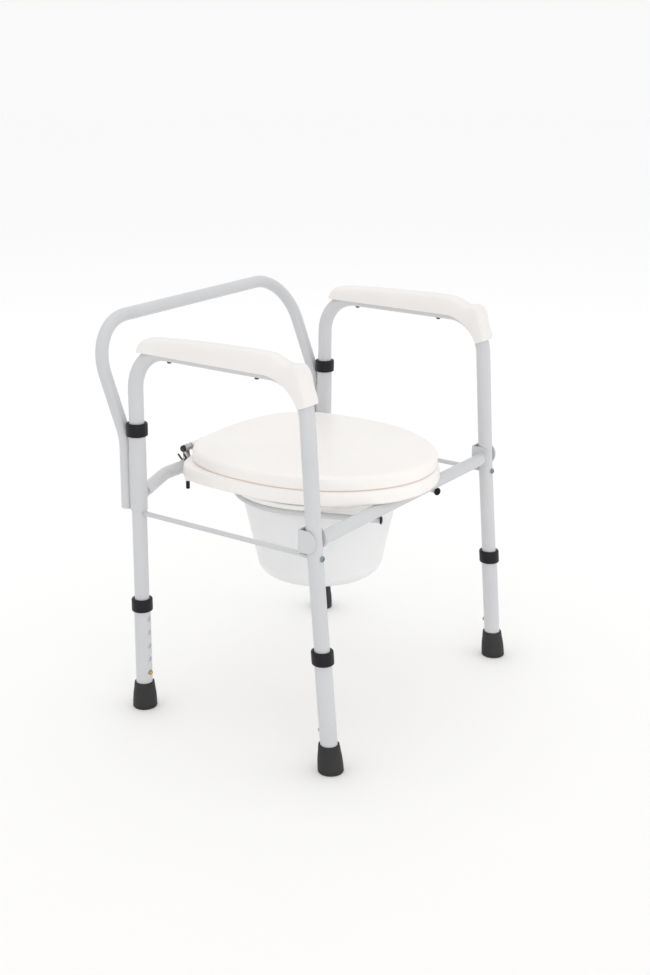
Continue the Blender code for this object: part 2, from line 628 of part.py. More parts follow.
# ---------------------------------------------------------------- hinge
def make_hinge(mats):
    path = [Vector((x, HINGE_Y, HINGE_Z)) for x in (-POST_X - 0.0075, POST_X + 0.0075)]
    new_object("hinge_rod", swept(path, (0, 0, 1), circle(HINGE_ROD, 12)), mats["chrome"])
    for side in (-1, 1):
        x, half = side * POST_X, 0.005
        bore, outer = CROSS_TUBE + GAP + 0.0002, CROSS_TUBE + 0.0028
        loop = [(outer, -half), (outer, half), (bore, half), (bore, -half)]
        name = "hinge_post_" + SIDE_NAMES[side]
        post = new_object(name, turned(loop, (x, REAR_BAR_Y, REAR_BAR_Z), "X", 20), mats["chrome"])
        bore, outer = HINGE_ROD + GAP, HINGE_ROD + 0.0025
        wide = half + 0.0007
        loop = [(outer, -wide), (outer, wide), (bore, wide), (bore, -wide)]
        eye = new_object(name + "_eye", turned(loop, (x, HINGE_Y, HINGE_Z), "X", 16), None, hidden=True)
        neck = [
            (REAR_BAR_Y - 0.0060, REAR_BAR_Z + 0.0110), (REAR_BAR_Y + 0.0060, REAR_BAR_Z + 0.0110),
            (HINGE_Y + 0.0035, HINGE_Z - 0.0050), (HINGE_Y - 0.0035, HINGE_Z - 0.0050),
        ]
        neck = plate(neck, x - half + 0.0008, x + half - 0.0008)
        neck = new_object(name + "_neck", neck, None, hidden=True)
        low = REAR_BAR_Z - CROSS_TUBE - 0.0015
        stud = [(0, -0.0320), (0.0030, -0.0320), (0.0036, -0.0312), (0.0036, 0), (0, 0)]
        stud = new_object(name + "_stud", turned(stud, (x, REAR_BAR_Y, low), "Z", 12), None, hidden=True)
        for piece in (neck, eye, stud):
            boolean(post, piece, "UNION")
        high = REAR_BAR_Z - CROSS_TUBE - 0.0028 - GAP
        bore = 0.0036 + GAP
        nut = [(bore, -0.0150), (0.0050, -0.0150), (0.0056, -0.0138), (0.0056, -0.0012)]
        nut = turned([*nut, (0.0050, 0), (bore, 0)], (x, REAR_BAR_Y, high), "Z", 12)
        new_object("hinge_nut_" + SIDE_NAMES[side], nut, mats["white"])


# ---------------------------------------------------------------- seat and lid
def egg(half, front, rear, rear_power, count=44):
    """An egg-shaped outline: an ellipse in front and a squarer curve behind."""
    points = []
    for i in range(count):
        a = 2 * math.pi * (i + 0.5) / count
        c, s = math.cos(a), math.sin(a)
        power, reach = (rear_power, rear) if s > 0 else (2.0, front)
        x = half * math.copysign(abs(c) ** (2 / power), c)
        y = reach * math.copysign(abs(s) ** (2 / power), s)
        points.append(Vector((x, OUTLINE_Y + y, 0)))
    return points


def level(mesh_data, outline, inset, z):
    """A copy of an outline at a height, drawn in evenly towards its inside."""
    count = len(outline)
    made = []
    for i, point in enumerate(outline):
        along = (outline[(i + 1) % count] - outline[i - 1]).normalized()
        inward = Vector((-along.y, along.x, 0))
        made.append(mesh_data.verts.new(point + inward * inset + Vector((0, 0, z))))
    return made


def hinge_lugs(name, spans, z_low, y_front, y_rear, target):
    """Knuckles round the hinge rod, each on a tongue that reaches forward into the seat or lid."""
    bore, outer = HINGE_ROD + GAP, HINGE_ROD + 0.0034
    for number, (x_low, x_high) in enumerate(spans):
        half, middle = (x_high - x_low) / 2, (x_low + x_high) / 2
        loop = [(outer, -half), (outer, half), (bore, half), (bore, -half)]
        spot = (middle, HINGE_Y, HINGE_Z)
        knuckle = new_object(f"{name}_knuckle_{number}", turned(loop, spot, "X", 16), None, hidden=True)
        tongue = [
            (y_rear, z_low), (y_front, z_low), (y_front, z_low + 0.0045), (y_rear, z_low + 0.0045),
        ]
        tongue = plate(tongue, x_low + 0.001, x_high - 0.001)
        tongue = new_object(f"{name}_tongue_{number}", tongue, None, hidden=True)
        boolean(target, tongue, "UNION")
        boolean(target, knuckle, "UNION")


def make_seat(mats):
    mesh_data = bmesh.new()
    outer = egg(SEAT_HALF, SEAT_FRONT, SEAT_REAR, SEAT_REAR_POWER)
    inner = egg(HOLE_HALF, HOLE_FRONT, HOLE_REAR, HOLE_REAR_POWER)
    low, top = SEAT_LOW_Z, SEAT_TOP_Z
    loops = [
        level(mesh_data, outer, 0.006, low), level(mesh_data, outer, 0.0, low + 0.006),
        level(mesh_data, outer, 0.0015, top - 0.007), level(mesh_data, outer, 0.008, top),
        level(mesh_data, inner, -0.010, top), level(mesh_data, inner, 0.0, top - 0.008),
        level(mesh_data, inner, 0.0, low),
    ]
    for first, second in zip(loops, loops[1:] + loops[:1]):
        bridge(mesh_data, first, second)
    seat = new_object("seat_ring", mesh_data, mats["white"], origin=(0, HINGE_Y, HINGE_Z))
    hinge_lugs("seat", ((-0.066, -0.046), (0.046, 0.066)), SEAT_TOP_Z - 0.0053, 0.150, HINGE_Y, seat)


def make_lid(mats):
    mesh_data = bmesh.new()
    outer = egg(LID_HALF, LID_FRONT, LID_REAR, LID_REAR_POWER)
    low, top, wall = SEAT_TOP_Z + GAP, LID_TOP_Z, 0.0035
    loops = [
        level(mesh_data, outer, wall, low), level(mesh_data, outer, 0.0, low),
        level(mesh_data, outer, 0.0015, top - 0.008), level(mesh_data, outer, 0.008, top - 0.0008),
        level(mesh_data, outer, 0.030, top),
    ]
    roof = level(mesh_data, outer, wall + 0.008, top - wall - 0.0008)
    bridge(mesh_data, loops[0], roof)
    for first, second in zip(loops, loops[1:]):
        bridge(mesh_data, second, first)
    mesh_data.faces.new(loops[-1])
    mesh_data.faces.new(roof)
    lid = new_object("lid", mesh_data, mats["white"], origin=(0, HINGE_Y, HINGE_Z))
    hinge_lugs("lid", ((-0.094, -0.070), (0.070, 0.094)), SEAT_TOP_Z + 0.0030, 0.163, HINGE_Y - 0.0055, lid)


# ---------------------------------------------------------------- pail
def make_pail(mats):
    flange_low = FRONT_BAR_Z - CROSS_TUBE + GAP
    body_top, body_low, corner = 0.1420, 0.1060, 0.030
    slope = (body_top - body_low) / (flange_low - PAIL_FOOT_Z)
    outer = [(0, PAIL_FOOT_Z)]
    for i in range(5):
        a = math.pi / 2 * i / 4
        rise = PAIL_FOOT_Z + corner * (1 - math.cos(a))
        outer.append((body_low + slope * corner - corner * (1 - math.sin(a)), rise))
    outer += [(body_top - 0.0006, flange_low), (0.1520, flange_low), (0.1535, flange_low + 0.0012)]
    outer += [(0.1522, PAIL_TOP_Z), (body_top - PAIL_WALL, PAIL_TOP_Z)]
    inner = []
    for radius, height in reversed(outer[1:6]):
        inner.append((radius - PAIL_WALL, max(height, PAIL_FOOT_Z + PAIL_WALL)))
    inner.append((0, PAIL_FOOT_Z + PAIL_WALL))
    pail = turned(outer + inner, (0, PAIL_Y, 0), sides=32)
    new_object("pail", pail, mats["pail"])


# ---------------------------------------------------------------- assembly
def main():
    for old in list(bpy.data.objects):
        bpy.data.objects.remove(old, do_unlink=True)
    mats = make_materials()
    for side in (-1, 1):
        make_side_frame(side, mats)
        make_arm_pad(side, mats)
        make_pad_screws(side, mats)
        make_rear_sleeve(side, mats)
        make_rear_rivets(side, mats)
        make_side_rod(side, mats)
        make_u_bracket(side, mats)
        make_pivot_strap(side, mats)
    for side, end, foot_y, lean, collar_z, facing in LEGS:
        make_extension(side, end, foot_y, lean, collar_z, facing, mats)
        make_leg_collar(side, end, foot_y, lean, collar_z, mats)
        make_rubber_tip(side, end, foot_y, lean, mats)
        make_snap_button(side, end, foot_y, lean, facing, mats)
    make_rear_crossbar(mats)
    make_back_bar(mats)
    make_front_crossbar(mats)
    make_pail_ring(mats)
    make_hinge(mats)
    make_seat(mats)
    make_lid(mats)
    make_pail(mats)


main()
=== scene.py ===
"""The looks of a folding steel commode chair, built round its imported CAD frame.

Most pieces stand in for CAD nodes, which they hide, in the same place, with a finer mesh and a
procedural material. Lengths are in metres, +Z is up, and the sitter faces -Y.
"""

import math

import bmesh
import bpy
from mathutils import Matrix, Vector


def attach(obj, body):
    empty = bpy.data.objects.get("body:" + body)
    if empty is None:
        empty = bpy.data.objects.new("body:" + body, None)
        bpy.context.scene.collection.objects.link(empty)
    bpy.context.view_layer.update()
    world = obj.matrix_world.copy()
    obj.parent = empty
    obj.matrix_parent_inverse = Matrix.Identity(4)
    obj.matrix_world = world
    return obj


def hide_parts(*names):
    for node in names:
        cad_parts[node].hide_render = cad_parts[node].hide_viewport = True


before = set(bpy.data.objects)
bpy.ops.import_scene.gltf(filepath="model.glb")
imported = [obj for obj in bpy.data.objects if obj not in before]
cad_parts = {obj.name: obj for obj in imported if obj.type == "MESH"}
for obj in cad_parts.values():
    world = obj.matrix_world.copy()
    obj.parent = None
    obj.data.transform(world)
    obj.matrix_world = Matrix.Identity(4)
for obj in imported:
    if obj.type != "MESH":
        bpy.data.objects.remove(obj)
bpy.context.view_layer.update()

# ---------------------------------------------------------------- sizes, as in the CAD model
HALF_WIDTH = 0.2706
FRAME_TUBE, FRAME_WALL = 0.0127, 0.0012
SLEEVE_TUBE, SLEEVE_BORE = 0.0143, 0.0131
CROSS_TUBE = 0.0111
GAP = 0.0003

RAIL_Z, BEND_RADIUS = 0.6485, 0.070
REAR_FOOT_Y, REAR_LEAN = 0.1600, -0.0156
FRONT_FOOT_Y, FRONT_LEAN, FRONT_LEAN_UPPER, KNEE_Z = -0.2412, 0.0823, 0.0632, 0.373
LEG_END_Z = 0.050
HOLE_PITCH, HOLE_COUNT, HOLE_RADIUS = 0.0254, 5, 0.0042
BUTTON_Z, BUTTON_RADIUS, BUTTON_PROUD = 0.068, 0.0038, 0.0048
EXTENSION_FOOT_Z = 0.0125
COLLAR_Z = {"front": 0.1872, "rear": 0.1845}
COLLAR_HEIGHT, COLLAR_RADIUS = 0.0222, 0.0182
TIP_HEIGHT, TIP_FOOT_RADIUS, TIP_TOP_RADIUS = 0.048, 0.0214, 0.0171

SLEEVE_LOW_Z, SLEEVE_TOP_Z, SLEEVE_COLLAR_Z = 0.3690, 0.5100, 0.4998
STOP_RIVET_Z, REAR_RIVET_Z = 0.5275, 0.3600
BACK_LOW_Z, BACK_KNEE_Z, BACK_TOP_Z, BACK_TOP_Y, BACK_CORNER = 0.3685, 0.4914, 0.6770, 0.2504, 0.090

ROD_Z, ROD_RADIUS = 0.3640, 0.0042
FRONT_BAR_Z, REAR_BAR_Z, REAR_BAR_Y = 0.3890, 0.4000, 0.1850
BAR_BOW_X, BAR_BOW_END_X = 0.168, 0.250
SHEET, CHEEK_CLEARANCE = 0.0026, 0.0010
CHEEK_LOW_Z, CHEEK_TOP_Z, WEB_Y, CHEEK_TIP_Y = 0.3735, 0.4105, -0.1910, -0.2218

RING_ROD, RING_RADIUS, RING_Z = 0.0050, 0.1500, 0.3726
RING_END_X, RING_END_Y = 0.0905, -0.2140
PAIL_Y, PAIL_TOP_Z, PAIL_FOOT_Z, PAIL_WALL, FLANGE_Z = -0.0285, 0.3868, 0.2165, 0.0022, 0.3782

HINGE_Y, HINGE_Z, HINGE_ROD, POST_X, STRAP_X = 0.1865, 0.4315, 0.0040, 0.1080, 0.0300
SEAT_LOW_Z, SEAT_TOP_Z, LID_TOP_Z, OUTLINE_Y = 0.4005, 0.4265, 0.4505, -0.0145
SEAT_OUTLINE = (0.190, 0.2330, 0.1862, 4.8)  # half width, reach forward, reach back, squareness behind
LID_OUTLINE = (0.186, 0.2285, 0.1945, 2.9)
HOLE_OUTLINE = (0.112, 0.1400, 0.1080, 2.3)

PAD_CROWN = (  # y along the rail, and the height of the pad's top over the rail's axis
    (0.1340, 0.0186), (0.1150, 0.0222), (0.0800, 0.0254), (0.0400, 0.0278), (-0.0100, 0.0298),
    (-0.0600, 0.0312), (-0.1050, 0.0320),
)
PAD_NOSE = (  # degrees round the front bend, and the same height: a dip, then a blunt nose for the hand
    (0.0, 0.0314), (9.5, 0.0296), (16.0, 0.0276), (21.0, 0.0264), (26.0, 0.0290), (31.5, 0.0362),
    (36.0, 0.0374), (41.0, 0.0348), (46.0, 0.0298), (52.0, 0.0238), (57.0, 0.0216), (63.0, 0.0196),
    (69.5, 0.0172),
)
PAD_HALF_WIDTH, PAD_SKIRT, PAD_SKIRT_NOSE = 0.0176, -0.0020, -0.0040
PAD_END_SLANT = 0.42  # the rear end leans forward this much for each unit of height
PAD_SCREW_Y = {"rear": 0.0755, "front": -0.1016}

SIDE_NAMES = {-1: "right", 1: "left"}
ENDS = {"front": (FRONT_FOOT_Y, FRONT_LEAN, 1), "rear": (REAR_FOOT_Y, REAR_LEAN, -1)}
LEGS = [(side, end) for side in (-1, 1) for end in ("front", "rear")]
ROUND = 48  # facets round a visible tube
BEND_STEP = 3.5  # degrees of a bend between its sections
SHARP = 32  # degrees between faces that show as an edge

# ---------------------------------------------------------------- the camera
CAMERA_AT = (-1.981, -1.4325, 1.188)
CAMERA_BACK = (0.7750, 0.5460, -0.3181)  # the way it looks
LENS, SENSOR = 53.55, 36.0
SHIFT = (0.0011, -0.0025)


# ---------------------------------------------------------------- materials
def finish_of(
    name, colour, darker, roughness, metallic=0.0, mottle=9.0, grain=900.0, relief=0.00004, extras=()
):
    """A surface with a slow drift of colour, uneven gloss, and a fine relief, all in object space."""
    made = bpy.data.materials.new(name)
    made.use_nodes = True
    nodes, links = made.node_tree.nodes, made.node_tree.links
    shader = nodes["Principled BSDF"]
    place = nodes.new("ShaderNodeTexCoord")
    drift = nodes.new("ShaderNodeTexNoise")
    drift.inputs["Scale"].default_value = mottle
    drift.inputs["Detail"].default_value = 5.0
    ramp = nodes.new("ShaderNodeValToRGB")
    ramp.color_ramp.elements[0].position, ramp.color_ramp.elements[1].position = 0.32, 0.66
    ramp.color_ramp.elements[0].color = (*darker, 1.0)
    ramp.color_ramp.elements[1].color = (*colour, 1.0)
    fine = nodes.new("ShaderNodeTexNoise")
    fine.inputs["Scale"].default_value = grain
    fine.inputs["Detail"].default_value = 3.0
    gloss = nodes.new("ShaderNodeMapRange")
    gloss.inputs["To Min"].default_value = roughness * 0.84
    gloss.inputs["To Max"].default_value = min(1.0, roughness * 1.18)
    bump = nodes.new("ShaderNodeBump")
    bump.inputs["Strength"].default_value = 0.5
    bump.inputs["Distance"].default_value = relief
    links.new(place.outputs["Object"], drift.inputs["Vector"])
    links.new(place.outputs["Object"], fine.inputs["Vector"])
    links.new(drift.outputs["Fac"], ramp.inputs["Fac"])
    links.new(ramp.outputs["Color"], shader.inputs["Base Color"])
    links.new(fine.outputs["Fac"], gloss.inputs["Value"])
    links.new(gloss.outputs["Result"], shader.inputs["Roughness"])
    links.new(fine.outputs["Fac"], bump.inputs["Height"])
    links.new(bump.outputs["Normal"], shader.inputs["Normal"])
    shader.inputs["Metallic"].default_value = metallic
    for socket, value in extras:
        shader.inputs[socket].default_value = value
    return made


def make_finishes():
    even = ("Subsurface Radius", (1.0, 0.9, 0.8))
    soft = (("Subsurface Weight", 0.15), ("Subsurface Scale", 0.004), even)
    milky = (("Subsurface Weight", 0.55), ("Subsurface Scale", 0.012), even, ("Coat Weight", 0.1))
    return {
        "powder_coat": finish_of(
            "powder_coat", (0.590, 0.595, 0.606), (0.560, 0.564, 0.580), 0.30, grain=700.0, relief=0.00006
        ),
        "pad_plastic": finish_of(
            "pad_plastic", (0.815, 0.795, 0.780), (0.795, 0.775, 0.758), 0.36, extras=soft
        ),
        "seat_plastic": finish_of(
            "seat_plastic", (0.880, 0.855, 0.832), (0.860, 0.835, 0.810), 0.30, extras=soft
        ),
        "pail_plastic": finish_of(
            "pail_plastic", (0.985, 0.97, 0.94), (0.965, 0.95, 0.92), 0.42, extras=milky
        ),
        # A warm tan for the strip in the gap under the lid: painted light and shade of that gap, not a
        # colour of the chair.
        "painted_gap_light": finish_of("painted_gap_light", (0.96, 0.64, 0.46), (0.90, 0.58, 0.41), 0.55),
        "black_plastic": finish_of(
            "black_plastic", (0.006, 0.0055, 0.011), (0.004, 0.004, 0.007), 0.46,
            extras=(("Specular IOR Level", 0.28),),
        ),
        "black_rubber": finish_of(
            "black_rubber", (0.020, 0.020, 0.022), (0.012, 0.012, 0.013), 0.68, grain=1500.0, relief=0.0001
        ),
        "chrome": finish_of("chrome", (0.56, 0.56, 0.58), (0.42, 0.42, 0.44), 0.14, 1.0, relief=0.00001),
        "zinc_plate": finish_of(
            "zinc_plate", (0.30, 0.36, 0.42), (0.16, 0.19, 0.23), 0.30, 1.0, mottle=160.0
        ),
        "dark_steel": finish_of(
            "dark_steel", (0.10, 0.08, 0.07), (0.05, 0.04, 0.035), 0.42, 1.0, mottle=160.0
        ),
        "brass": finish_of("brass", (0.60, 0.40, 0.16), (0.46, 0.29, 0.11), 0.30, 1.0, mottle=160.0),
    }


# ---------------------------------------------------------------- building blocks
def piece(name, mesh_data, finish, body, replaces=(), angle=SHARP):
    """A mesh given in the row frame, riding on a body and standing for the CAD nodes it replaces."""
    bmesh.ops.recalc_face_normals(mesh_data, faces=mesh_data.faces)
    mesh = bpy.data.meshes.new(name)
    mesh_data.to_mesh(mesh)
    mesh_data.free()
    mesh.shade_smooth()
    mesh.set_sharp_from_angle(angle=math.radians(angle))
    mesh.materials.append(FINISHES[finish])
    made = bpy.data.objects.new(name, mesh)
    bpy.context.scene.collection.objects.link(made)
    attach(made, body)
    if replaces:
        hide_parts(*replaces)
    return made


def cut(target, mesh_data, operation="DIFFERENCE"):
    """Cuts a solid out of a piece, or joins it on, and applies the cut."""
    bmesh.ops.recalc_face_normals(mesh_data, faces=mesh_data.faces)
    mesh = bpy.data.meshes.new("cutter")
    mesh_data.to_mesh(mesh)
    mesh_data.free()
    cutter = bpy.data.objects.new("cutter", mesh)
    bpy.context.scene.collection.objects.link(cutter)
    step = target.modifiers.new("cut", "BOOLEAN")
    step.object, step.operation, step.solver = cutter, operation, "EXACT"
    bpy.context.view_layer.update()
    graph = bpy.context.evaluated_depsgraph_get()
    result = bpy.data.meshes.new_from_object(target.evaluated_get(graph))
    target.modifiers.clear()
    target.data = result
    target.data.shade_smooth()
    target.data.set_sharp_from_angle(angle=math.radians(SHARP))
    bpy.data.objects.remove(cutter)


def circle(radius, sides=ROUND):
    turns = [2 * math.pi * (i + 0.5) / sides for i in range(sides)]
    return [(radius * math.cos(a), radius * math.sin(a)) for a in turns]


def rounded_path(corners, radii):
    """A line through the corners with each one bent to its radius."""
    corners = [Vector(c) for c in corners]
    path = [corners[0]]
    for before, corner, after, radius in zip(corners, corners[1:], corners[2:], radii):
        back, ahead = (before - corner).normalized(), (after - corner).normalized()
        half = back.angle(ahead) / 2
        run = radius / math.tan(half)
        centre = corner + (back + ahead).normalized() * radius / math.sin(half)
        start, end = corner + back * run - centre, corner + ahead * run - centre
        steps = max(2, round(math.degrees(start.angle(end)) / BEND_STEP))
        for i in range(steps + 1):
            turn = Matrix.Rotation(start.angle(end) * i / steps, 3, start.cross(end))
            path.append(centre + turn @ start)
    path.append(corners[-1])
    return path


def directions(path):
    """The way the path heads at each of its points."""
    found = []
    for i, point in enumerate(path):
        ahead = (path[i + 1] - point).normalized() if i + 1 < len(path) else Vector()
        back = (point - path[i - 1]).normalized() if i else Vector()
        found.append((ahead + back).normalized())
    return found


def ring_loop(mesh_data, centre, direction, normal, outline):
    across = direction.cross(normal).normalized()
    return [mesh_data.verts.new(centre + normal * u + across * v) for u, v in outline]


def bridge(mesh_data, first, second):
    count = len(first)
    for i in range(count):
        j = (i + 1) % count
        mesh_data.faces.new((first[i], first[j], second[j], second[i]))


def swept(path, first_normal, radius, bore=None, sides=ROUND, closed=False):
    """A round bar or tube along a path, its section carried round every bend."""
    mesh_data = bmesh.new()
    path = [Vector(p) for p in path]
    normal = Vector(first_normal)
    outer, inner = [], []
    for i, (point, head) in enumerate(zip(path, directions(path))):
        if closed:
            head = (path[(i + 1) % len(path)] - path[i - 1]).normalized()
        normal = (normal - head * normal.dot(head)).normalized()
        width = radius(i) if callable(radius) else radius
        outer.append(ring_loop(mesh_data, point, head, normal, circle(width, sides)))
        if bore:
            inner.append(ring_loop(mesh_data, point, head, normal, circle(bore, sides)))
    loops = outer + outer[:1] if closed else outer
    for first, second in zip(loops, loops[1:]):
        bridge(mesh_data, first, second)
    for first, second in zip(inner, inner[1:]):
        bridge(mesh_data, second, first)
    if bore:
        bridge(mesh_data, inner[0], outer[0])
        bridge(mesh_data, outer[-1], inner[-1])
    elif not closed:
        mesh_data.faces.new(outer[0])
        mesh_data.faces.new(outer[-1])
    return mesh_data


AXES = {
    "X": Matrix.Rotation(math.pi / 2, 4, "Y"),
    "Y": Matrix.Rotation(-math.pi / 2, 4, "X"),
    "-Y": Matrix.Rotation(math.pi / 2, 4, "X"),
    "Z": Matrix.Identity(4),
}


def turned(profile, centre=(0, 0, 0), axis="Z", sides=ROUND, mesh_data=None):
    """A profile of (radius, height) pairs turned round an axis. It closes on itself, or on the axis."""
    mesh_data = mesh_data or bmesh.new()
    place = Matrix.Translation(Vector(centre)) @ AXES[axis]
    loops = []
    for radius, height in profile:
        spots = circle(radius, sides) if radius > 1e-9 else [(0, 0)]
        loops.append([mesh_data.verts.new(place @ Vector((x, y, height))) for x, y in spots])
    pairs = list(zip(loops, loops[1:]))
    if profile[0][0] > 1e-9 and profile[-1][0] > 1e-9:
        pairs.append((loops[-1], loops[0]))
    for first, second in pairs:
        if len(first) == 1 and len(second) == 1:
            continue
        if len(first) > 1 and len(second) > 1:
            bridge(mesh_data, first, second)
            continue
        tip, loop = (first[0], second) if len(first) == 1 else (second[0], first)
        for i in range(sides):
            mesh_data.faces.new((tip, loop[i], loop[(i + 1) % sides]))
    return mesh_data


def arc(centre_r, centre_z, radius, start, end, steps=5):
    """Profile points round a fillet, in degrees from the +radius direction."""
    turns = [math.radians(start + (end - start) * i / steps) for i in range(steps + 1)]
    return [(centre_r + radius * math.cos(a), centre_z + radius * math.sin(a)) for a in turns]


def block(low, high):
    mesh_data = bmesh.new()
    middle, size = (Vector(low) + Vector(high)) / 2, Vector(high) - Vector(low)
    bmesh.ops.create_cube(mesh_data, size=1, matrix=Matrix.Translation(middle) @ Matrix.Diagonal((*size, 1)))
    return mesh_data


def plate(outline, x_low, x_high):
    """A flat plate across the chair, from its (y, z) outline."""
    mesh_data = bmesh.new()
    low = [mesh_data.verts.new((x_low, y, z)) for y, z in outline]
    high = [mesh_data.verts.new((x_high, y, z)) for y, z in outline]
    mesh_data.faces.new(low)
    mesh_data.faces.new(high)
    bridge(mesh_data, low, high)
    return mesh_data


def leant(mesh_data, lean):
    """Leans a turned part back along its leg."""
    for vert in mesh_data.verts:
        vert.co.y += lean * vert.co.z
    return mesh_data


def soften(made, width):
    """Rounds the sharp edges of a cut sheet or a block."""
    bevel = made.modifiers.new("soften", "BEVEL")
    bevel.width, bevel.segments, bevel.limit_method = width, 2, "ANGLE"
    bevel.angle_limit = math.radians(40)
    return made


def weld_ring(name, centre, axis, radius, bead=0.0017, saddle=0.0):
    """A bead of weld round the end of a tube. A saddle bends it over the tube that it meets."""
    count = 96
    axis = Vector(axis).normalized()
    side = axis.orthogonal().normalized()
    other = axis.cross(side)
    path = []
    for i in range(count):
        a = 2 * math.pi * i / count
        out = side * math.cos(a) + other * math.sin(a)
        flat = math.sqrt(max(0.0, 1 - out.z * out.z))
        drop = saddle - math.sqrt(max(0.0, saddle**2 - (radius * flat) ** 2)) if saddle else 0.0
        path.append(Vector(centre) + out * radius + axis * drop)
    ripple = lambda i: bead * (1 + 0.16 * math.sin(i * 2.1) + 0.08 * math.sin(i * 0.9))
    mesh_data = swept(path, axis, ripple, sides=8, closed=True)
    piece(name, mesh_data, "powder_coat", "frame")


def weld_line(name, start, end):
    """A rippled bead of weld along a seam, thinner towards its ends."""
    bead, steps = 0.0018, 60
    start, end = Vector(start), Vector(end)
    path = [start.lerp(end, i / steps) for i in range(steps + 1)]
    ends = lambda i: min(1.0, 0.35 + min(i, steps - i) / 4)
    ripple = lambda i: bead * ends(i) * (1 + 0.15 * math.sin(i * 2.1))
    piece(name, swept(path, (1, 0, 0), ripple, sides=8), "powder_coat", "frame")


# ---------------------------------------------------------------- leg axes
def rear_y(z):
    return REAR_FOOT_Y + REAR_LEAN * z


def front_y(z):
    if z <= KNEE_Z:
        return FRONT_FOOT_Y + FRONT_LEAN * z
    return FRONT_FOOT_Y + FRONT_LEAN * KNEE_Z + FRONT_LEAN_UPPER * (z - KNEE_Z)


def side_path(side):
    x = side * HALF_WIDTH
    corners = [
        (x, rear_y(LEG_END_Z), LEG_END_Z), (x, rear_y(RAIL_Z), RAIL_Z), (x, front_y(RAIL_Z), RAIL_Z),
        (x, front_y(KNEE_Z), KNEE_Z), (x, front_y(LEG_END_Z), LEG_END_Z),
    ]
    return rounded_path(corners, (BEND_RADIUS, BEND_RADIUS, 0.3))


# ---------------------------------------------------------------- side frames and pads
def make_side_frame(side):
    label = SIDE_NAMES[side]
    tube = swept(side_path(side), (1, 0, 0), FRAME_TUBE, FRAME_TUBE - FRAME_WALL)
    made = piece("tube_" + label, tube, "powder_coat", "frame", ["side_frame_" + label])
    slot_half = 0.0052  # the slot at a leg's foot, which the snap button stands in
    for foot_y, lean, facing in ENDS.values():
        x, y = side * HALF_WIDTH, foot_y + lean * BUTTON_Z
        near, far = sorted((y + facing * 0.003, y + facing * 0.022))
        low = (x - slot_half, near, LEG_END_Z - 0.006)
        cut(made, block(low, (x + slot_half, far, BUTTON_Z + slot_half)))


def smoothed(table, at):
    """A smooth curve through (place, value) pairs."""
    for i in range(len(table) - 1):
        (p0, v0), (p1, v1) = table[i], table[i + 1]
        if (p0 - at) * (p1 - at) <= 0:
            t, span = (at - p0) / (p1 - p0), p1 - p0
            before, after = table[max(i - 1, 0)], table[min(i + 2, len(table) - 1)]
            m0 = (v1 - before[1]) / (p1 - before[0]) * span
            m1 = (after[1] - v0) / (after[0] - p0) * span
            low = (2 * t**3 - 3 * t**2 + 1) * v0 + (t**3 - 2 * t**2 + t) * m0
            return low + (-2 * t**3 + 3 * t**2) * v1 + (t**3 - t**2) * m1
    return table[-1][1]


def eased(value, low, high):
    """0 up to low, 1 from high, and a smooth rise between."""
    t = min(1.0, max(0.0, (value - low) / (high - low)))
    return t * t * (3 - 2 * t)


def pad_section(height, skirt, square, draw_in):
    """Section of a pad with rounded shoulders and an open channel for the rail."""
    bore, half = FRAME_TUBE + GAP + 0.0003, PAD_HALF_WIDTH - draw_in
    height -= draw_in
    power = 2.7 + 0.7 * square
    spring = height * (0.22 + 0.16 * square)
    lip = max(half - 0.0010, bore + 0.0003)  # the thinned end still stands clear of the channel
    side = [(-lip, skirt), (-half + 0.0003, skirt + 0.0002), (-half, skirt + 0.0010)]
    for i in range(17):
        a = math.radians(90 * i / 16)
        u = -(half + 0.0006) * math.cos(a) ** (2 / power) if i < 16 else 0.0
        side.append((u, spring + (height - spring) * math.sin(a) ** (2 / power)))
    top = [side.pop()]
    turns = [math.pi * i / 16 for i in range(17)]
    channel = [(bore * math.cos(a), bore * math.sin(a)) for a in turns]
    return side + top + [(-u, v) for u, v in reversed(side)] + [(bore, skirt)] + channel + [(-bore, skirt)]


def pad_stations():
    """Places along the pad: (y, z), the way the rail heads, the pad's height, and how far round the bend."""
    half_turn = (math.pi / 2 + math.atan(FRONT_LEAN_UPPER)) / 2
    bend_y = front_y(RAIL_Z) + BEND_RADIUS / math.tan(half_turn)
    rear = PAD_CROWN[0][0]
    crown = PAD_CROWN + ((bend_y, PAD_NOSE[0][1]),)
    straight, bent = 72, 56  # stations along the rail, and round its bend
    made = []
    for i in range(straight):
        y = rear + (bend_y - rear) * (i / straight) ** 1.15  # closer together at the rear end
        made.append((y, RAIL_Z, Vector((0, -1, 0)), smoothed(crown, y), 0.0))
    last = PAD_NOSE[-1][0]
    for i in range(bent + 1):
        degrees = last * i / bent
        a = math.radians(degrees)
        y, z = bend_y - BEND_RADIUS * math.sin(a), RAIL_Z - BEND_RADIUS + BEND_RADIUS * math.cos(a)
        made.append((y, z, Vector((0, -math.cos(a), -math.sin(a))), smoothed(PAD_NOSE, degrees), degrees))
    return made


def drawn_in(distance, depth, reach):
    """How far a pad's edge is rounded in, this far from its end."""
    return depth * (1 - min(1.0, distance / reach)) ** 2


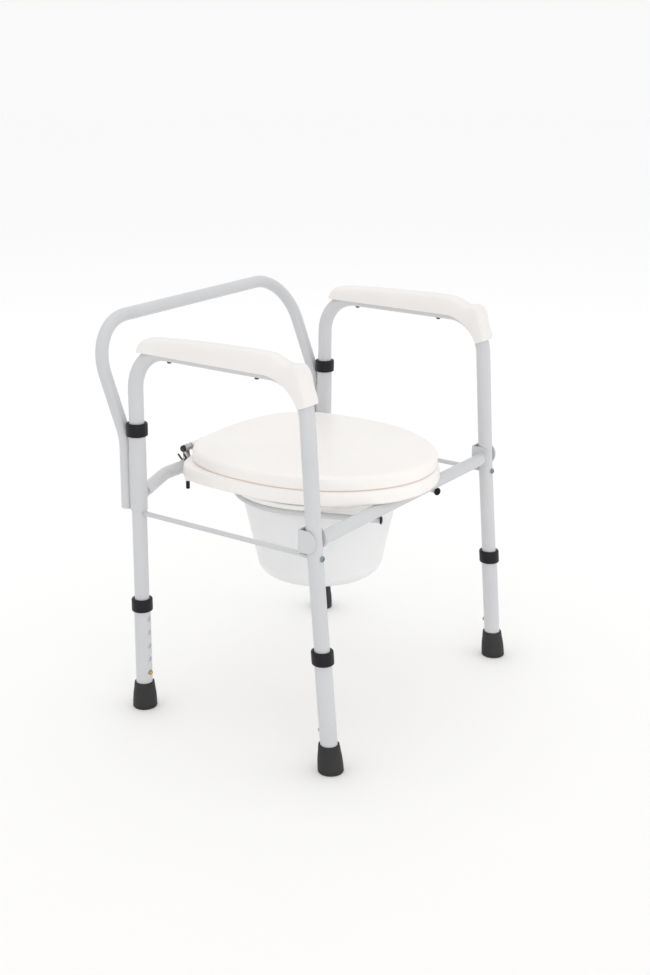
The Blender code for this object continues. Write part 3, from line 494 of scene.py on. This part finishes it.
def make_arm_pad(side):
    label, x = SIDE_NAMES[side], side * HALF_WIDTH
    stations = pad_stations()
    first, last = Vector(stations[0][:2]), Vector(stations[-1][:2])
    mesh_data = bmesh.new()
    loops = []
    for y, z, head, height, degrees in stations:
        near_end, near_foot = (Vector((y, z)) - first).length, (Vector((y, z)) - last).length
        draw_in = drawn_in(near_end, 0.0034, 0.0050) + drawn_in(near_foot, 0.0008, 0.0022)
        skirt = PAD_SKIRT + (PAD_SKIRT_NOSE - PAD_SKIRT) * eased(degrees, 0, 30)
        section = pad_section(height, skirt, eased(degrees, 17, 31), draw_in)
        loop = ring_loop(mesh_data, Vector((x, y, z)), head, Vector((1, 0, 0)), section)
        slant = PAD_END_SLANT * (1 - eased(near_end, 0.0, 0.030))
        for vert, (_, v) in zip(loop, section):
            vert.co.y -= slant * (v - skirt)
        loops.append(loop)
    for before, after in zip(loops, loops[1:]):
        bridge(mesh_data, before, after)
    mesh_data.faces.new(loops[0])
    mesh_data.faces.new(loops[-1])
    piece("pad_" + label, mesh_data, "pad_plastic", "frame", ["arm_pad_" + label], angle=50)


def cross_recess(made, spot, depth, axis):
    """A cross-shaped driver recess, cut into a head that faces along the axis."""
    spot, reach, arm = Vector(spot), 0.0023, 0.00045
    for wide in (0, 1):
        u, v = (reach, arm) if wide else (arm, reach)
        size = Vector((u, v, depth)) if axis == "Z" else Vector((u, depth, v))
        cut(made, block(spot - size, spot + size))


def make_pad_screws(side):
    label = SIDE_NAMES[side]
    for place, y in PAD_SCREW_Y.items():
        z = RAIL_Z - FRAME_TUBE - GAP
        profile = [(0, -0.0026), (0.0012, -0.00255), (0.0024, -0.0023), (0.0034, -0.0017)]
        profile += [(0.0040, -0.0007), (0.0040, 0), (0, 0)]
        head = turned(profile, (side * HALF_WIDTH, y, z), sides=28)
        name = f"pad_screw_{place}_{label}"
        made = piece("head_" + name, head, "dark_steel", "frame", [name])
        cross_recess(made, (side * HALF_WIDTH, y, z - 0.0026), 0.0011, "Z")


# ---------------------------------------------------------------- legs
def collar_profile(bottom, seat):
    """Section of a black collar: a rounded band that steps in over the end of its tube at the seat."""
    ceiling = bottom + COLLAR_HEIGHT
    upper, lower = SLEEVE_BORE - 0.0001, SLEEVE_TUBE + GAP
    profile = [(lower, bottom)] + arc(COLLAR_RADIUS - 0.0014, bottom + 0.0014, 0.0014, -90, 0)
    profile += arc(COLLAR_RADIUS - 0.0026, ceiling - 0.0026, 0.0026, 0, 90)
    return profile + [(upper + 0.0006, ceiling), (upper, ceiling - 0.0006), (upper, seat), (lower, seat)]


def make_leg(side, end):
    foot_y, lean, facing = ENDS[end]
    tag, x = f"{end}_{SIDE_NAMES[side]}", side * HALF_WIDTH
    body, low, collar_z = "leg_" + tag, EXTENSION_FOOT_Z, COLLAR_Z[end]
    top = collar_z + COLLAR_HEIGHT * 0.62
    profile = [(SLEEVE_BORE, low), (SLEEVE_TUBE, low), (SLEEVE_TUBE, top), (SLEEVE_BORE, top)]
    tube = leant(turned(profile, (x, foot_y, 0)), lean)
    made = piece("extension_" + tag, tube, "powder_coat", body, ["leg_extension_" + tag])
    holes = bmesh.new()
    for i in range(HOLE_COUNT):
        z = BUTTON_Z + HOLE_PITCH * i
        bore = [(0, 0), (HOLE_RADIUS, 0), (HOLE_RADIUS, 0.030), (0, 0.030)]
        turned(bore, (x, foot_y + lean * z, z), "Y" if facing > 0 else "-Y", 28, holes)
    cut(made, holes)
    soften(made, 0.0003)

    collar = leant(turned(collar_profile(collar_z, top + GAP), (x, foot_y, 0), sides=64), lean)
    piece("collar_" + tag, collar, "black_plastic", body, ["leg_collar_" + tag])

    bore, foot, neck = SLEEVE_TUBE + GAP, TIP_FOOT_RADIUS, TIP_TOP_RADIUS
    profile = [(0, 0), (0.0080, 0), (0.0086, 0.0008), (0.0112, 0.0008), (0.0118, 0), (foot - 0.0020, 0)]
    profile += arc(foot - 0.0020, 0.0020, 0.0020, -90, 0)
    for inset, height in (  # a groove over the foot, then the taper
        (0.0001, 0.0046), (0.0006, 0.0050), (0.0006, 0.0055), (0.0002, 0.0060), (0.0002, 0.0100),
        (0.0005, 0.0160), (0.0010, 0.0230), (0.0018, 0.0300), (0.0028, 0.0360),
    ):
        profile.append((foot - inset, height))
    profile += [(neck + 0.0010, TIP_HEIGHT - 0.0060), (neck + 0.0004, TIP_HEIGHT - 0.0030)]
    profile += arc(neck - 0.0011, TIP_HEIGHT - 0.0015, 0.0015, 15, 90, 4)
    profile += [(bore, TIP_HEIGHT), (bore, low - GAP), (0, low - GAP)]
    tip = leant(turned(profile, (x, foot_y, 0), sides=64), lean)
    piece("tip_" + tag, tip, "black_rubber", body, ["rubber_tip_" + tag])

    spot = Vector((x, foot_y + lean * BUTTON_Z, BUTTON_Z))
    reach, inner = SLEEVE_TUBE + BUTTON_PROUD, FRAME_TUBE - FRAME_WALL - 0.0022
    crown = 0.0032  # height of the rounded end
    dome = [(0, inner - 0.0006), (BUTTON_RADIUS, inner - 0.0006), (BUTTON_RADIUS, reach - crown)]
    for a in steps_to(80, 7)[1:]:
        dome.append((BUTTON_RADIUS * math.cos(a), reach - crown + crown * math.sin(a)))
    dome.append((0, reach))
    button = turned(dome, spot, "Y" if facing > 0 else "-Y", 32)
    name = "snap_button_" + tag
    made = piece("dome_" + tag, button, "brass", "button_" + tag, [name])
    outline = [
        (inner, 0.010), (inner, -0.012), (inner - 0.002, -0.016), (inner - 0.006, -0.016),
        (inner - 0.012, 0.010), (inner - 0.0111, 0.010), (inner - 0.0051, -0.015),
        (inner - 0.0025, -0.015), (inner - 0.0009, -0.012), (inner - 0.0009, 0.010),
    ]
    leaf = plate([(spot.y + facing * v, spot.z + w) for v, w in outline], x - 0.0034, x + 0.0034)
    cut(made, leaf, "UNION")


# ---------------------------------------------------------------- rear frame
def make_rear_frame(side):
    label, x = SIDE_NAMES[side], side * HALF_WIDTH
    low, top = SLEEVE_LOW_Z, SLEEVE_TOP_Z
    profile = [(SLEEVE_BORE, low), (SLEEVE_TUBE - 0.0003, low), (SLEEVE_TUBE, low + 0.0003)]
    profile += [(SLEEVE_TUBE, top), (SLEEVE_BORE, top)]
    sleeve = leant(turned(profile, (x, REAR_FOOT_Y, 0)), REAR_LEAN)
    piece("sleeve_" + label, sleeve, "powder_coat", "frame", ["rear_sleeve_" + label])

    profile = collar_profile(SLEEVE_COLLAR_Z, SLEEVE_TOP_Z + GAP)
    collar = leant(turned(profile, (x, REAR_FOOT_Y, 0), sides=64), REAR_LEAN)
    piece("cap_sleeve_" + label, collar, "black_plastic", "frame", ["sleeve_collar_" + label])

    for name, z, radius in (("leg_rivet", REAR_RIVET_Z, 0.0042), ("stop_rivet", STOP_RIVET_Z, 0.0034)):
        profile = [(0, 0), (radius, 0), (radius, 0.0004), (radius * 0.92, 0.0010), (radius * 0.7, 0.0016)]
        profile += [(radius * 0.4, 0.0021), (0, 0.0023)]
        spot = (x, rear_y(z) + FRAME_TUBE + GAP, z)
        head = turned(profile, spot, "Y", 32)
        piece(f"head_{name}_{label}", head, "zinc_plate", "frame", [f"{name}_{label}"])

    seam_y, seam_x = rear_y(0.43) + SLEEVE_TUBE, 0.0060  # where the sleeve and the back bar run together
    for hand in (-1, 1):
        start = (x + hand * seam_x, seam_y - 0.0001, BACK_LOW_Z + 0.006)
        end = (x + hand * seam_x, seam_y - 0.0022, BACK_KNEE_Z - 0.020)
        weld_line(f"back_weld_{label}_{'outer' if hand == side else 'inner'}", start, end)
    bar_end = (side * (HALF_WIDTH - SLEEVE_TUBE - 0.0006), rear_y(REAR_BAR_Z), REAR_BAR_Z)
    weld_ring("crossbar_weld_" + label, bar_end, (side, 0, 0), CROSS_TUBE + 0.0003, saddle=SLEEVE_TUBE)


def make_crossbars():
    y_end = rear_y(REAR_BAR_Z)
    x_end = HALF_WIDTH - SLEEVE_TUBE - GAP
    corners = [(-x_end, y_end, 0), (-BAR_BOW_END_X, y_end, 0), (-BAR_BOW_X, REAR_BAR_Y, 0)]
    corners += [(-x, y, z) for x, y, z in reversed(corners)]
    path = [p + Vector((0, 0, REAR_BAR_Z)) for p in rounded_path(corners, (0.015, 0.06, 0.06, 0.015))]
    bar = swept(path, (0, 0, 1), CROSS_TUBE, CROSS_TUBE - FRAME_WALL)
    piece("bowed_bar", bar, "powder_coat", "frame", ["rear_crossbar"])

    x_end = HALF_WIDTH - FRAME_TUBE - CHEEK_CLEARANCE - SHEET - GAP
    y = front_y(FRONT_BAR_Z)
    path = [(-x_end, y, FRONT_BAR_Z), (x_end, y, FRONT_BAR_Z)]
    bar = swept(path, (0, 0, 1), CROSS_TUBE, CROSS_TUBE - FRAME_WALL)
    piece("straight_bar", bar, "powder_coat", "frame", ["front_crossbar"])
    for side, label in SIDE_NAMES.items():
        spot = (side * (x_end - 0.0010), y, FRONT_BAR_Z)
        weld_ring("bracket_weld_" + label, spot, (side, 0, 0), CROSS_TUBE + 0.0006)


def make_back_bar():
    offset = SLEEVE_TUBE + CROSS_TUBE + GAP
    corners = [
        (-HALF_WIDTH, rear_y(BACK_LOW_Z) + offset, BACK_LOW_Z),
        (-HALF_WIDTH, rear_y(BACK_KNEE_Z) + offset, BACK_KNEE_Z),
        (-HALF_WIDTH, BACK_TOP_Y, BACK_TOP_Z),
    ]
    corners += [(-x, y, z) for x, y, z in reversed(corners)]
    path = rounded_path(corners, (0.09, BACK_CORNER, BACK_CORNER, 0.09))
    bar = swept(path, (0, 1, 0), CROSS_TUBE, CROSS_TUBE - FRAME_WALL)
    piece("back_tube", bar, "powder_coat", "frame", ["back_bar"])


def make_side_rod(side):
    label, x = SIDE_NAMES[side], side * HALF_WIDTH
    rear, front = rear_y(ROD_Z) - FRAME_TUBE - GAP, front_y(ROD_Z) + FRAME_TUBE + GAP
    rod = swept([(x, rear, ROD_Z), (x, front, ROD_Z)], (1, 0, 0), ROD_RADIUS, sides=28)
    piece("rod_" + label, rod, "powder_coat", "frame", ["side_rod_" + label])
    weld_ring("rod_weld_rear_" + label, (x, rear - 0.0006, ROD_Z), (0, 1, 0), ROD_RADIUS + 0.0004, 0.0012)
    profile = [(0, 0), (0.0048, 0)] + arc(0.0030, 0.0008, 0.0018, 0, 90, 4) + [(0, 0.0026)]
    spot = (x, front_y(ROD_Z) - FRAME_TUBE - GAP, ROD_Z)
    head, name = turned(profile, spot, "-Y", 36), "rod_bolt_" + label
    made = piece("head_" + name, head, "zinc_plate", "frame", [name])
    cross_recess(made, (x, spot[1] - 0.0026, ROD_Z), 0.0011, "Y")


# ---------------------------------------------------------------- seat frame
def make_bracket(side):
    label, x = SIDE_NAMES[side], side * HALF_WIDTH
    inside = FRAME_TUBE + CHEEK_CLEARANCE
    outside, bend = inside + SHEET, 0.0030
    tail, low_z, high_z = -0.26, 0.33, 0.45  # the folded sheet before its outline is trimmed
    mesh_data = bmesh.new()
    outer = [(-outside, tail), (-outside, WEB_Y + SHEET - bend)]
    outer += [(-outside + bend + u, WEB_Y + SHEET - bend + v) for u, v in arc(0, 0, bend, 180, 90)]
    outer += [(-u, v) for u, v in reversed(outer)]
    inner = [(inside, tail), (inside, WEB_Y), (-inside, WEB_Y), (-inside, tail)]
    plan = [(x + u, v) for u, v in outer + inner]
    low = [mesh_data.verts.new((*spot, low_z)) for spot in plan]
    high = [mesh_data.verts.new((*spot, high_z)) for spot in plan]
    mesh_data.faces.new(low)
    mesh_data.faces.new(high)
    bridge(mesh_data, low, high)
    made = piece("hook_" + label, mesh_data, "powder_coat", "frame", ["hook_bracket_" + label])
    bottom, ceiling = CHEEK_LOW_Z, CHEEK_TOP_Z
    middle, radius = (bottom + ceiling) / 2, (ceiling - bottom) / 2
    foot, reach = ROD_Z + ROD_RADIUS + GAP, CHEEK_TIP_Y + radius * 0.80
    turns = [math.pi / 2 + math.pi * i / 36 for i in range(37)]
    shape = [(WEB_Y + 0.01, foot), (WEB_Y + 0.01, ceiling)]
    shape += [(reach + radius * 0.80 * math.cos(a), middle + radius * math.sin(a)) for a in turns]
    shape += [(WEB_Y - 0.002, bottom), (WEB_Y, foot)]
    cut(made, plate(shape, x - 0.03, x + 0.03), "INTERSECT")
    soften(made, 0.0005)


def ring_path():
    """From one end of the pail ring's rod, round the pail on a tangent circle, to the other end."""
    steps = 110
    centre = Vector((0, PAIL_Y, RING_Z))
    end = Vector((RING_END_X, RING_END_Y, RING_Z))
    away = centre - end
    lean = math.atan2(away.y, away.x) - math.asin(RING_RADIUS / away.length)
    reach = math.sqrt(away.length_squared - RING_RADIUS**2)
    touch = end + Vector((math.cos(lean), math.sin(lean), 0)) * reach
    start = math.atan2(touch.y - PAIL_Y, touch.x)
    curve = []
    for i in range(steps + 1):
        angle = start + (math.pi - 2 * start) * i / steps
        curve.append(centre + RING_RADIUS * Vector((math.cos(angle), math.sin(angle), 0)))
    return [end, *curve, Vector((-end.x, end.y, RING_Z))]


def make_pail_ring():
    path = ring_path()
    piece("ring_rod", swept(path, (0, 0, 1), RING_ROD, sides=28), "powder_coat", "frame", ["pail_ring"])
    for side, end, before in ((1, path[0], path[1]), (-1, path[-1], path[-2])):
        out = (end - before).normalized()
        label = SIDE_NAMES[side]
        r = RING_ROD + 0.0017
        shape = [(r - 0.0007, GAP), (r, 0.0008), (r, 0.0020), (r - 0.0004, 0.0026), (r - 0.0013, 0.0030)]
        shape += [(r - 0.0020, 0.0030), (r - 0.0023, 0.0026), (0.0006, 0.0025)]
        stations = [end + out * height for _, height in shape]
        widths = [width for width, _ in shape]
        cap = swept(stations, (0, 0, 1), lambda i: widths[i], sides=40)
        piece("end_cap_" + label, cap, "black_plastic", "frame", ["ring_cap_" + label])
        cross = front_y(FRONT_BAR_Z)
        share = (cross - before.y) / (end.y - before.y)
        spot = before.lerp(end, share)
        along, beads = (-0.005, -0.0025, 0, 0.0025, 0.005), (0.0006, 0.0015, 0.0018, 0.0015, 0.0006)
        for hand in (-1, 1):
            line = [spot + Vector((hand * 0.0042, v, RING_ROD - 0.0022)) for v in along]
            mesh_data = swept(line, (1, 0, 0), lambda i: beads[i], sides=10)
            piece(f"ring_weld_{label}_{'a' if hand < 0 else 'b'}", mesh_data, "powder_coat", "frame")


def make_strap(side):
    label, x, half = SIDE_NAMES[side], side * STRAP_X, 0.009
    bore, outer = CROSS_TUBE + 0.0005, CROSS_TUBE + 0.0018
    loop = [(outer, -half), (outer, half), (bore, half), (bore, -half)]
    made = piece(
        "strap_" + label, turned(loop, (x, REAR_BAR_Y, REAR_BAR_Z), "X", 56), "powder_coat", "frame",
        ["pivot_strap_" + label],
    )
    ring_y = PAIL_Y + math.sqrt((RING_RADIUS + RING_ROD) ** 2 - (STRAP_X - half + 0.001) ** 2) + GAP
    arm = [
        (REAR_BAR_Y - 0.0118, REAR_BAR_Z - 0.0020), (ring_y, RING_Z + 0.0110), (ring_y, RING_Z - 0.0040),
        (ring_y + 0.0030, RING_Z - 0.0040), (ring_y + 0.0035, RING_Z + 0.0095),
        (REAR_BAR_Y - 0.0098, REAR_BAR_Z - 0.0072),
    ]
    cut(made, plate(arm, x - half + 0.001, x + half - 0.001), "UNION")


# ---------------------------------------------------------------- hinge
def bush(bore, outer, half, chamfer):
    """Profile of a short sleeve with chamfered rims."""
    loop = [(outer - chamfer, -half), (outer, -half + chamfer), (outer, half - chamfer)]
    return loop + [(outer - chamfer, half), (bore, half), (bore, -half)]


def make_hinge():
    reach = POST_X + 0.0075
    rod = swept([(-reach, HINGE_Y, HINGE_Z), (reach, HINGE_Y, HINGE_Z)], (0, 0, 1), HINGE_ROD, sides=32)
    piece("pin", rod, "chrome", "frame", ["hinge_rod"])
    for side, label in SIDE_NAMES.items():
        x, half = side * POST_X, 0.005
        loop = bush(CROSS_TUBE + 0.0005, CROSS_TUBE + 0.0028, half, 0.0005)
        clamp = turned(loop, (x, REAR_BAR_Y, REAR_BAR_Z), "X", 56)
        made = piece("post_" + label, clamp, "chrome", "frame", ["hinge_post_" + label])
        neck = [
            (REAR_BAR_Y - 0.0060, REAR_BAR_Z + 0.0115), (REAR_BAR_Y + 0.0060, REAR_BAR_Z + 0.0115),
            (HINGE_Y + 0.0035, HINGE_Z - 0.0050), (HINGE_Y - 0.0035, HINGE_Z - 0.0050),
        ]
        cut(made, plate(neck, x - half + 0.0008, x + half - 0.0008), "UNION")
        eye = bush(HINGE_ROD + GAP, HINGE_ROD + 0.0025, half + 0.0007, 0.0005)
        cut(made, turned(eye, (x, HINGE_Y, HINGE_Z), "X", 40), "UNION")
        knob = [(0, 0), (0.0046, 0), (0.0056, 0.0006), (0.0060, 0.0014), (0.0058, 0.0024), (0.0050, 0.0034)]
        knob += [(0.0036, 0.0036), (0.0030, 0.0030), (0, 0.0029)]
        knob = [(r, side * h) for r, h in knob]
        spot = (side * (reach - 0.0002), HINGE_Y, HINGE_Z)
        piece("pin_head_" + label, turned(knob, spot, "X", 36), "dark_steel", "frame")
        for hand, reach_y, reach_z in ((-1, 0.0068, 0.0178), (1, 0.0112, 0.0206)):
            wing = plate([
                (REAR_BAR_Y + hand * 0.0012, REAR_BAR_Z + 0.0122),
                (REAR_BAR_Y + hand * reach_y, REAR_BAR_Z + reach_z + 0.0012),
                (REAR_BAR_Y + hand * (reach_y + 0.0022), REAR_BAR_Z + reach_z - 0.0006),
                (REAR_BAR_Y + hand * 0.0050, REAR_BAR_Z + 0.0112),
            ], x + side * 0.0090, x + side * 0.0112)
            name = f"wing_{label}_{'front' if hand < 0 else 'rear'}"
            soften(piece(name, wing, "dark_steel", "frame"), 0.0005)
        top = REAR_BAR_Z - CROSS_TUBE - 0.0015
        pitch, threads, first, crest, root = 0.0011, 17, -0.0316, 0.0036, 0.0031
        stud = [(0, -0.0320), (0.0026, -0.0320)]
        for i in range(threads):
            height = first + pitch * i
            stud += [(crest, height), (crest, height + 0.0002), (root, height + 0.00055)]
        stud += [(crest, first + pitch * threads), (crest, 0), (0, 0)]
        thread = turned(stud, (x, REAR_BAR_Y, top), "Z", 28)
        piece("stud_" + label, thread, "dark_steel", "frame")
        high, bore = REAR_BAR_Z - CROSS_TUBE - 0.0028 - GAP, 0.0036 + GAP
        nut = [(bore, -0.0150), (0.0046, -0.0150), (0.0056, -0.0138), (0.0056, -0.0012)]
        nut = turned(nut + [(0.0046, 0), (bore, 0)], (x, REAR_BAR_Y, high), "Z", 40)
        piece("nut_" + label, nut, "seat_plastic", "frame", ["hinge_nut_" + label])


# ---------------------------------------------------------------- seat and lid
def egg(half, front, rear, rear_power):
    """The outline of the seat, the lid or the hole: a half ellipse in front, squarer behind."""
    count = 160
    points = []
    for i in range(count):
        a = 2 * math.pi * (i + 0.5) / count
        c, s = math.cos(a), math.sin(a)
        power, reach = (rear_power, rear) if s > 0 else (2.0, front)
        x = half * math.copysign(abs(c) ** (2 / power), c)
        y = reach * math.copysign(abs(s) ** (2 / power), s)
        points.append(Vector((x, OUTLINE_Y + y, 0)))
    return evened(points)


def evened(points):
    """The same closed outline with its points an even distance apart."""
    count = len(points)
    lengths = [(points[(i + 1) % count] - points[i]).length for i in range(count)]
    total, made, i, run = sum(lengths), [], 0, 0.0
    for k in range(count):
        want = total * k / count
        while run + lengths[i] < want:
            run += lengths[i]
            i += 1
        made.append(points[i].lerp(points[(i + 1) % count], (want - run) / lengths[i]))
    return made


def level(mesh_data, outline, inset, z):
    """The outline drawn in by the inset, at a height."""
    count = len(outline)
    made = []
    for i, point in enumerate(outline):
        along = (outline[(i + 1) % count] - outline[i - 1]).normalized()
        inward = Vector((-along.y, along.x, 0))
        made.append(mesh_data.verts.new(point + inward * inset + Vector((0, 0, z))))
    return made


def knuckles(name, spans, z_low, y_front, y_rear, body):
    """Eyes on the hinge rod, each with a tongue that reaches into the seat or the lid."""
    bore, outer = HINGE_ROD + GAP, HINGE_ROD + 0.0034
    for label, (x_low, x_high) in zip(("right", "left"), spans):
        half, middle = (x_high - x_low) / 2, (x_low + x_high) / 2
        mesh_data = turned(bush(bore, outer, half, 0.0008), (middle, HINGE_Y, HINGE_Z), "X", 48)
        made = piece(f"{name}_knuckle_{label}", mesh_data, "seat_plastic", body)
        tongue = [(y_rear, z_low), (y_front, z_low), (y_front, z_low + 0.0045), (y_rear, z_low + 0.0045)]
        cut(made, plate(tongue, x_low + 0.001, x_high - 0.001), "UNION")


def make_seat():
    mesh_data = bmesh.new()
    outer, inner = egg(*SEAT_OUTLINE), egg(*HOLE_OUTLINE)
    low, top = SEAT_LOW_Z, SEAT_TOP_Z
    foot, shoulder, fall = 0.0060, 0.0075, 0.0068  # roundings under the rim and over it
    stations = [(foot - foot * math.sin(a), low + foot - foot * math.cos(a)) for a in steps_to(90, 7)]
    stations.append((0.0012, top - 0.0080))
    for a in steps_to(90, 8):
        stations.append((0.0015 + shoulder * (1 - math.cos(a)), top - fall + fall * math.sin(a)))
    loops = [level(mesh_data, outer, inset, z) for inset, z in stations]
    into_hole = ((-0.0130, 0.0), (-0.0080, 0.0007), (-0.0040, 0.0026), (-0.0012, 0.0060), (0.0, 0.0100))
    for inset, drop in into_hole:
        loops.append(level(mesh_data, inner, inset, top - drop))
    loops.append(level(mesh_data, inner, 0.0, low + 0.0015))
    loops.append(level(mesh_data, inner, -0.0015, low))
    for first, second in zip(loops, loops[1:] + loops[:1]):
        bridge(mesh_data, first, second)
    piece("seat_shell", mesh_data, "seat_plastic", "seat", ["seat_ring"])
    spans = ((-0.066, -0.046), (0.046, 0.066))
    knuckles("seat", spans, SEAT_TOP_Z - 0.0053, 0.150, HINGE_Y, "seat")


def steps_to(degrees, count):
    return [math.radians(degrees * i / count) for i in range(count + 1)]


def make_lid():
    mesh_data = bmesh.new()
    outer = egg(*LID_OUTLINE)
    low, top, wall = SEAT_TOP_Z + 0.0010, LID_TOP_Z, 0.0035
    stations = [(wall, low), (0.0010, low), (0.0002, low + 0.0010), (0.0004, top - 0.0120)]
    for a in steps_to(90, 9):
        stations.append((0.0006 + 0.0110 * (1 - math.cos(a)), top - 0.0100 + 0.0090 * math.sin(a)))
    for inset, drop in ((0.0200, 0.0005), (0.0400, 0.0001), (0.0800, 0.0)):
        stations.append((inset, top - drop))
    loops = [level(mesh_data, outer, inset, z) for inset, z in stations]
    for first, second in zip(loops, loops[1:]):
        bridge(mesh_data, first, second)
    mesh_data.faces.new(loops[-1])
    inside = ((wall, top - 0.0125), (0.0120, top - 0.0045))
    roof = [level(mesh_data, outer, inset, z) for inset, z in inside]
    bridge(mesh_data, loops[0], roof[0])
    bridge(mesh_data, roof[0], roof[1])
    mesh_data.faces.new(roof[1])
    piece("lid_shell", mesh_data, "seat_plastic", "lid", ["lid"])
    spans = ((-0.094, -0.070), (0.070, 0.094))
    knuckles("lid", spans, SEAT_TOP_Z + 0.0030, 0.163, HINGE_Y - 0.0055, "lid")

    # A thin tan strip just inside the lid's rim, over the seat: it paints the warm line of light and shade
    # seen in the gap between lid and seat.
    seam = bmesh.new()
    loops = []
    near, far, below, above = 0.0016, 0.0030, low - 0.0008, low + 0.0006
    for inset, z in ((near, below), (near, above), (far, above), (far, below)):
        loops.append(level(seam, outer, inset, z))
    for first, second in zip(loops, loops[1:] + loops[:1]):
        bridge(seam, first, second)
    piece("lid_painted_gap_light", seam, "painted_gap_light", "lid")


# ---------------------------------------------------------------- pail
def make_pail():
    body_top, body_low, corner, lip = 0.1420, 0.1060, 0.030, 0.1535
    slope = (body_top - body_low) / (FLANGE_Z - PAIL_FOOT_Z)
    outer = [(0, PAIL_FOOT_Z + 0.0010), (0.060, PAIL_FOOT_Z + 0.0008), (0.066, PAIL_FOOT_Z)]
    for a in steps_to(90, 14):
        rise = PAIL_FOOT_Z + corner * (1 - math.cos(a))
        outer.append((body_low + slope * corner - corner * (1 - math.sin(a)), rise))
    wall = outer[1:]
    outer += [(body_top - 0.0026, FLANGE_Z - 0.0080), (body_top - 0.0008, FLANGE_Z - 0.0016)]
    outer += [(body_top + 0.0016, FLANGE_Z)] + arc(lip - 0.0012, FLANGE_Z + 0.0012, 0.0012, -90, 0, 4)
    outer += [(lip - 0.0001, FLANGE_Z + 0.0030)] + arc(lip - 0.0030, PAIL_TOP_Z - 0.0028, 0.0028, 0, 90, 8)
    outer += [(body_top + 0.0040, PAIL_TOP_Z - 0.0004), (body_top, PAIL_TOP_Z - 0.0020)]
    outer += [(body_top - PAIL_WALL, PAIL_TOP_Z - 0.0050)]
    inner = [(radius - PAIL_WALL, max(height, PAIL_FOOT_Z + PAIL_WALL)) for radius, height in reversed(wall)]
    pail = turned(outer + inner + [(0, PAIL_FOOT_Z + PAIL_WALL + 0.001)], (0, PAIL_Y, 0), sides=128)
    piece("pail_shell", pail, "pail_plastic", "pail", ["pail"])


# ---------------------------------------------------------------- studio
def floor_finish():
    """Matt white paper with painted shade: greyer round the chair and turning white further off, standing in
    for the fall-off of the light.
    """
    made = finish_of("floor_paper_painted_shade", (0.87, 0.862, 0.85), (0.862, 0.854, 0.842), 0.8, mottle=1.2, grain=300.0)
    nodes, links = made.node_tree.nodes, made.node_tree.links
    place = nodes.new("ShaderNodeTexCoord")
    shift = nodes.new("ShaderNodeMapping")
    shift.inputs["Location"].default_value = (0.30, 0.36, 0.0)
    shift.inputs["Scale"].default_value = (0.24, 0.24, 0.24)
    # Painted shade: the spherical gradient keeps the colour darker round the chair and mixes it to white
    # further off.
    painted_shade_fade = nodes.new("ShaderNodeTexGradient")
    painted_shade_fade.gradient_type = "SPHERICAL"
    blend = nodes.new("ShaderNodeMix")
    blend.data_type = "RGBA"
    blend.inputs[6].default_value = (1.0, 1.0, 1.0, 1.0)
    links.new(place.outputs["Object"], shift.inputs["Vector"])
    links.new(shift.outputs["Vector"], painted_shade_fade.inputs["Vector"])
    links.new(painted_shade_fade.outputs["Fac"], blend.inputs[0])
    shader = nodes["Principled BSDF"]
    links.new(shader.inputs["Base Color"].links[0].from_socket, blend.inputs[7])
    links.new(blend.outputs[2], shader.inputs["Base Color"])
    return made


def make_studio():
    mesh_data = bmesh.new()
    bmesh.ops.create_circle(mesh_data, cap_ends=True, segments=96, radius=14)
    mesh = bpy.data.meshes.new("floor")
    mesh_data.to_mesh(mesh)
    mesh_data.free()
    floor = bpy.data.objects.new("floor", mesh)
    bpy.context.scene.collection.objects.link(floor)
    mesh.materials.append(floor_finish())
    world = bpy.data.worlds.new("studio")
    world.use_nodes = True
    world.node_tree.nodes["Background"].inputs["Color"].default_value = (1.0, 1.0, 1.0, 1.0)
    world.node_tree.nodes["Background"].inputs["Strength"].default_value = 0.95
    bpy.context.scene.world = world
    for name, spot, size, power in (
        ("key", (-2.6, -2.6, 1.3), 2.4, 19),
        ("overhead", (0.6, 0.8, 3.4), 2.8, 14),
        ("fill", (1.4, -2.8, 0.6), 1.8, 7),
    ):
        light = bpy.data.lights.new(name, "AREA")
        light.size, light.energy = size, power
        lamp = bpy.data.objects.new(name, light)
        lamp.location = spot
        lamp.rotation_euler = (Vector((0, 0, 0.35)) - Vector(spot)).to_track_quat("-Z", "Y").to_euler()
        bpy.context.scene.collection.objects.link(lamp)
    camera_data = bpy.data.cameras.new("camera")
    camera_data.lens, camera_data.sensor_width, camera_data.sensor_fit = LENS, SENSOR, "AUTO"
    camera_data.shift_x, camera_data.shift_y = SHIFT
    camera = bpy.data.objects.new("camera", camera_data)
    camera.location = CAMERA_AT
    camera.rotation_euler = Vector(CAMERA_BACK).to_track_quat("-Z", "Y").to_euler()
    bpy.context.scene.collection.objects.link(camera)
    bpy.context.scene.camera = camera
    bpy.context.scene.view_settings.view_transform = "Standard"


# ---------------------------------------------------------------- assembly
FINISHES = make_finishes()
for each_side in (-1, 1):
    make_side_frame(each_side)
    make_arm_pad(each_side)
    make_pad_screws(each_side)
    make_rear_frame(each_side)
    make_side_rod(each_side)
    make_bracket(each_side)
    make_strap(each_side)
for each_side, each_end in LEGS:
    make_leg(each_side, each_end)
make_crossbars()
make_back_bar()
make_pail_ring()
make_hinge()
make_seat()
make_lid()
make_pail()
make_studio()
